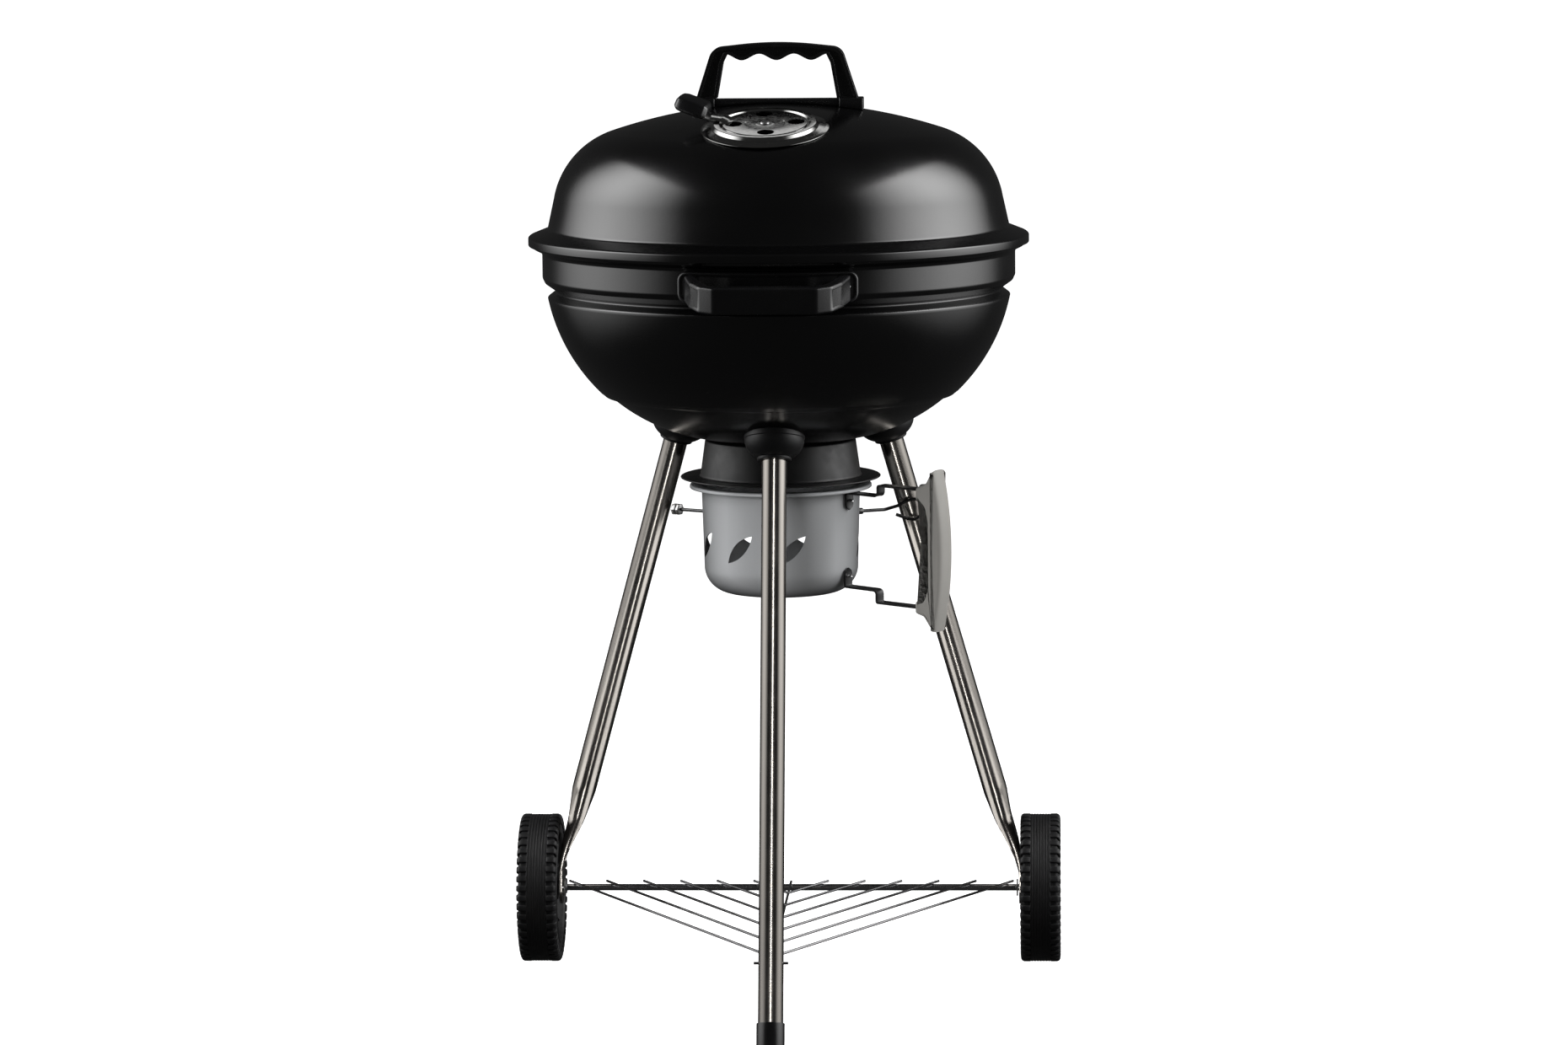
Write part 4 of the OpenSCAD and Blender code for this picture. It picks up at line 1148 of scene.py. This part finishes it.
gripEdge = arcPoints((-176, 464.5), 374, 12.2, -12.5, 26)
gripOutline = rounded([(188.5, 548)] + gripEdge + [(187, 383), (182, 388), (175, 398), (165, 401), (165, 414), (174, 417), (178, 428),
                      (178, 494), (175, 508), (166, 517), (166, 529), (178, 534), (184, 545)],
                      [5] + [0] * len(gripEdge) + [4, 4, 5, 4.5, 4.5, 3, 8, 10, 10, 3, 4.5, 5, 5], 6, closed=True)
potGripRings = []
signed = sum(gripOutline[i - 1][0] * gripOutline[i][1] - gripOutline[i][0] * gripOutline[i - 1][1] for i in range(len(gripOutline)))
inwards = -1 if signed > 0 else 1
for k in range(-8, 9):
    y, shrink = 12 * math.sin(math.radians(k * 11.25)), 4.4 * (1 - math.cos(math.radians(k * 11.25))) ** 1.5
    potGripRings.append([(u, y, z) for u, z in offset(gripOutline, inwards * shrink, closed=True)])
potGrip = loft("potGrip", potGripRings, besidePot)
dress(potGrip, gripGrey, "ash_pot", "handle_grey", "pot_handle", sharp=40)
pins = fasten("gripPins", panScrew, [((170, 0, 529.6), (0, 0, 1), 1.0, 0.3), ((167.5, 0, 403.0), (0, 0, -1), 1.0, 0.7)], besidePot)
dress(pins, zinc, "ash_pot", "zinc_steel", "handle_pins", sharp=30)
print("pot handle made")

# ---- hangers between the pot and the legs ----

hangSize = dict(z=488, wire=1.75)
leftWay = kettle @ Matrix.Rotation(math.radians(150), 4, "Z")
rodLeft = wires("hangerLeft", [[(79, 0, 488), (131, 0, 488)]], hangSize["wire"], place=leftWay)
beadLeft = turned("bead", rounded([(0, 0), (3.4, 0), (3.4, 5), (0, 5)], [0, 1.2, 1.2, 0], 3), 24,
                  leftWay @ Matrix.Translation((79.6 * mm, 0, 488 * mm)) @ xAxis)
dress(join("hangerLeft", [rodLeft, beadLeft]), rodSteel, "ash_pot", "zinc_steel", "hanger_left", sharp=40)
nuts = []
for at, thick in ((122.6, 3.2), (126.6, 5.0)):
    hexagon = [(6.2 * math.cos(math.radians(60 * k + 30)), 6.2 * math.sin(math.radians(60 * k + 30))) for k in range(6)]
    nuts.append(soften(plate("nut", hexagon, at, at + thick, leftWay @ Matrix.Translation((0, 0, 488 * mm)) @ xAxis), 0.5, 2))
dress(join("hangerNuts", nuts), zinc, "ash_pot", "zinc_steel", "hanger_nut", sharp=30)
hookPath = [(68.5, 39, 488), (104, 56, 488), (118, 57, 492), (126, 57, 497), (136, 57, 499), (142.5, 57, 495.5), (144.5, 57, 487.5),
            (140.5, 57, 481), (134.5, 57, 477.5), (127.5, 57, 478.5), (115.5, 56, 483)]
hook = wires("hook", [hookPath], hangSize["wire"], corner=5)
sleeveWay = Vector((35.5, 17, 0)).normalized()
sleeve = turned("sleeve", rounded([(0, 0), (3.3, 0), (3.3, 9), (0, 9)], [0, 1, 1, 0], 3), 24,
                kettle @ Matrix.Translation(Vector((73.5, 41.4, 488)) * mm) @ sleeveWay.to_track_quat("Z", "Y").to_matrix().to_4x4())
dress(join("hangerRight", [hook, sleeve]), rodSteel, "ash_pot", "zinc_steel", "hanger_right", sharp=40)
print("hangers made")

# ---- grates ----

grateSize = dict(cookRing=227, cookZ=729.1, cookPitch=15.5, coalRing=172.5, coalZ=620.2, coalPitch=20)


def ringPath(radius, z, count=72):
    points = [(radius * math.cos(2 * math.pi * k / count), radius * math.sin(2 * math.pi * k / count), z) for k in range(count)]
    return points + [points[0]]


def rodPaths(radius, pitch, z):
    n = int((radius - 12) / pitch)
    return [[(i * pitch, -math.sqrt(radius ** 2 - (i * pitch) ** 2), z), (i * pitch, math.sqrt(radius ** 2 - (i * pitch) ** 2), z)]
            for i in range(-n, n + 1)]


g = grateSize
cookBars = wires("bars", rodPaths(g["cookRing"], g["cookPitch"], g["cookZ"] + 3.8), 2.0, sides=10)
cookEdge = wires("edge", [ringPath(g["cookRing"], g["cookZ"])], 3.0)
cookCross = wires("cross", [[(-208, y, g["cookZ"] - 1), (208, y, g["cookZ"] - 1)] for y in (-95, 95)], 2.5)
cookGrips = wires("grips", [[(s * 186, -44, g["cookZ"] + 2), (s * 186, -44, g["cookZ"] + 30), (s * 186, 44, g["cookZ"] + 30), (s * 186, 44, g["cookZ"] + 2)]
                            for s in (-1, 1)], 2.7, corner=8)
dress(join("cookingGrate", [cookBars, cookEdge, cookCross, cookGrips]), grateSteel, "cooking_grate", "grate_steel", "cooking_grate", sharp=50)
coalBars = wires("bars", rodPaths(g["coalRing"], g["coalPitch"], g["coalZ"] + 4.6), 3.0, sides=10)
coalEdge = wires("edge", [ringPath(g["coalRing"], g["coalZ"])], 3.0)
coalCross = wires("cross", [[(-154, y, g["coalZ"] - 0.5), (154, y, g["coalZ"] - 0.5)] for y in (-75, 75)], 3.0)
dress(join("charcoalGrate", [coalBars, coalEdge, coalCross]), grateSteel, "charcoal_grate", "grate_steel", "charcoal_grate", sharp=50)
drop(panScrew)
print("grates made")


# ---- floor, lights and camera ----

floorMat = Paint("studioFloor", (0.9, 0.9, 0.9), 0.9)
floorMat.shader.inputs["Emission Color"].default_value = (1, 1, 1, 1)
floorMat.shader.inputs["Emission Strength"].default_value = 1.1
floorMat.tint(floorMat.spread(floorMat.noise(2, 2), 0.4, 0.7, 0, 0.2), (0.86, 0.86, 0.86))
floor = plate("studioFloor", [(-30000, -30000), (30000, -30000), (30000, 30000), (-30000, 30000)], -6, -1)
floor.data.materials.append(floorMat.mat)
floor.visible_glossy = False
floor.visible_diffuse = False
floor.visible_shadow = False

world = bpy.data.worlds.new("studio")
bpy.context.scene.world = world
world.use_nodes = True
sky = world.node_tree
sky.nodes.clear()
out = sky.nodes.new("ShaderNodeOutputWorld")
seen, lit, both = (sky.nodes.new(kind) for kind in ("ShaderNodeBackground", "ShaderNodeBackground", "ShaderNodeMixShader"))
path = sky.nodes.new("ShaderNodeLightPath")
seen.inputs["Color"].default_value = (1, 1, 1, 1)
seen.inputs["Strength"].default_value = 1.3
lit.inputs["Color"].default_value = (1, 1, 1, 1)
lit.inputs["Strength"].default_value = 0.03
sky.links.new(path.outputs["Is Camera Ray"], both.inputs[0])
sky.links.new(lit.outputs[0], both.inputs[1])
sky.links.new(seen.outputs[0], both.inputs[2])
sky.links.new(both.outputs[0], out.inputs[0])
bpy.context.scene.view_settings.view_transform = "Standard"


def softbox(name, place, target, size, power, fades=None, onto=None):
    # fades: (start, full) across the width and up the height, from 0 to 1 over the box
    lamp = bpy.data.lights.new(name, "AREA")
    lamp.shape = "RECTANGLE"
    lamp.size, lamp.size_y = size
    lamp.energy = power
    if fades:
        lamp.use_nodes = True
        tree = lamp.node_tree
        glow = tree.nodes["Emission"]
        where, split = tree.nodes.new("ShaderNodeNewGeometry"), tree.nodes.new("ShaderNodeSeparateXYZ")
        tree.links.new(where.outputs["Parametric"], split.inputs[0])
        value = None
        for axis, start, full in fades:
            ramp = tree.nodes.new("ShaderNodeMapRange")
            ramp.interpolation_type = "SMOOTHSTEP"
            ramp.inputs["From Min"].default_value = start
            ramp.inputs["From Max"].default_value = full
            tree.links.new(split.outputs[axis], ramp.inputs["Value"])
            if value:
                product = tree.nodes.new("ShaderNodeMath")
                product.operation = "MULTIPLY"
                tree.links.new(value, product.inputs[0])
                tree.links.new(ramp.outputs["Result"], product.inputs[1])
                value = product.outputs[0]
            else:
                value = ramp.outputs["Result"]
        tree.links.new(value, glow.inputs["Strength"])
    ob = bpy.data.objects.new(name, lamp)
    bpy.context.scene.collection.objects.link(ob)
    ob.location = place
    ob.rotation_euler = (Vector(target) - Vector(place)).to_track_quat("-Z", "Y").to_euler()
    ob.visible_camera = False
    if onto:
        lit = bpy.data.collections.new(name + "Only")
        for piece in onto:
            lit.objects.link(piece)
        ob.light_linking.receiver_collection = lit
    return ob


# two tall boxes at the sides, brightest beside the grill, fading to the front, the back and the ground
boxLeft = softbox("boxLeft", (-2.3, 0.0, 0.9), (0, 0.0, 0.9), (4.7, 4.6), 285,
                  [("X", 1.0, 0.45), ("X", 0.0, 0.5), ("Y", 0.14, 0.78)])
boxRight = softbox("boxRight", (2.3, 0.0, 0.9), (0, 0.0, 0.9), (4.7, 4.6), 345,
                   [("X", 0.0, 0.55), ("X", 1.0, 0.5), ("Y", 0.14, 0.78)])
# the bright steel legs also mirror a narrow lamp over the camera and a pale wall low beside them
frontStrip = softbox("frontStrip", (0.12, -5.2, 1.2), (0, -0.1, 0.3), (0.36, 9.0), 230, None, brushedPieces)
lowLeft = softbox("lowLeft", (-2.2, -0.6, -1.1), (0, 0, 0.3), (2.4, 2.4), 60, None, brushedPieces)
lowRight = softbox("lowRight", (2.2, -0.6, -1.1), (0, 0, 0.3), (2.4, 2.4), 60, None, brushedPieces)

# a soft fill from the front for the ash pot and its handle
potFill = softbox("potFill", (-1.6, -4.2, 1.6), (0, 0, 0.45), (1.6, 1.6), 62, None, [pot, potGrip])
# a pale panel behind and above, mirrored only by the damper
backPanel = softbox("backPanel", (0, 3.3, 3.2), (0, 0, 0.9), (2.2, 0.8), 5, None, polishedPieces)

lens = dict(distance=6256, height=1292, pitch=7.377, focal=7345, turn=2.8, yaw=-0.027, roll=-0.5)
camera = bpy.data.objects.new("camera", bpy.data.cameras.new("camera"))
bpy.context.scene.collection.objects.link(camera)
around = math.radians(lens["turn"])
facing = Matrix.Rotation(around + math.radians(lens["yaw"]), 3, "Z") @ \
    Matrix.Rotation(math.radians(90 - lens["pitch"]), 3, "X") @ Matrix.Rotation(math.radians(lens["roll"]), 3, "Z")
camera.location = (lens["distance"] * mm * math.sin(around), kettleY - lens["distance"] * mm * math.cos(around),
                   lens["height"] * mm)
camera.rotation_euler = facing.to_euler()
camera.data.sensor_width = 36
camera.data.lens = lens["focal"] * 36 / 1860
camera.data.clip_end = 100
bpy.context.scene.camera = camera
print("floor, lights and camera made")
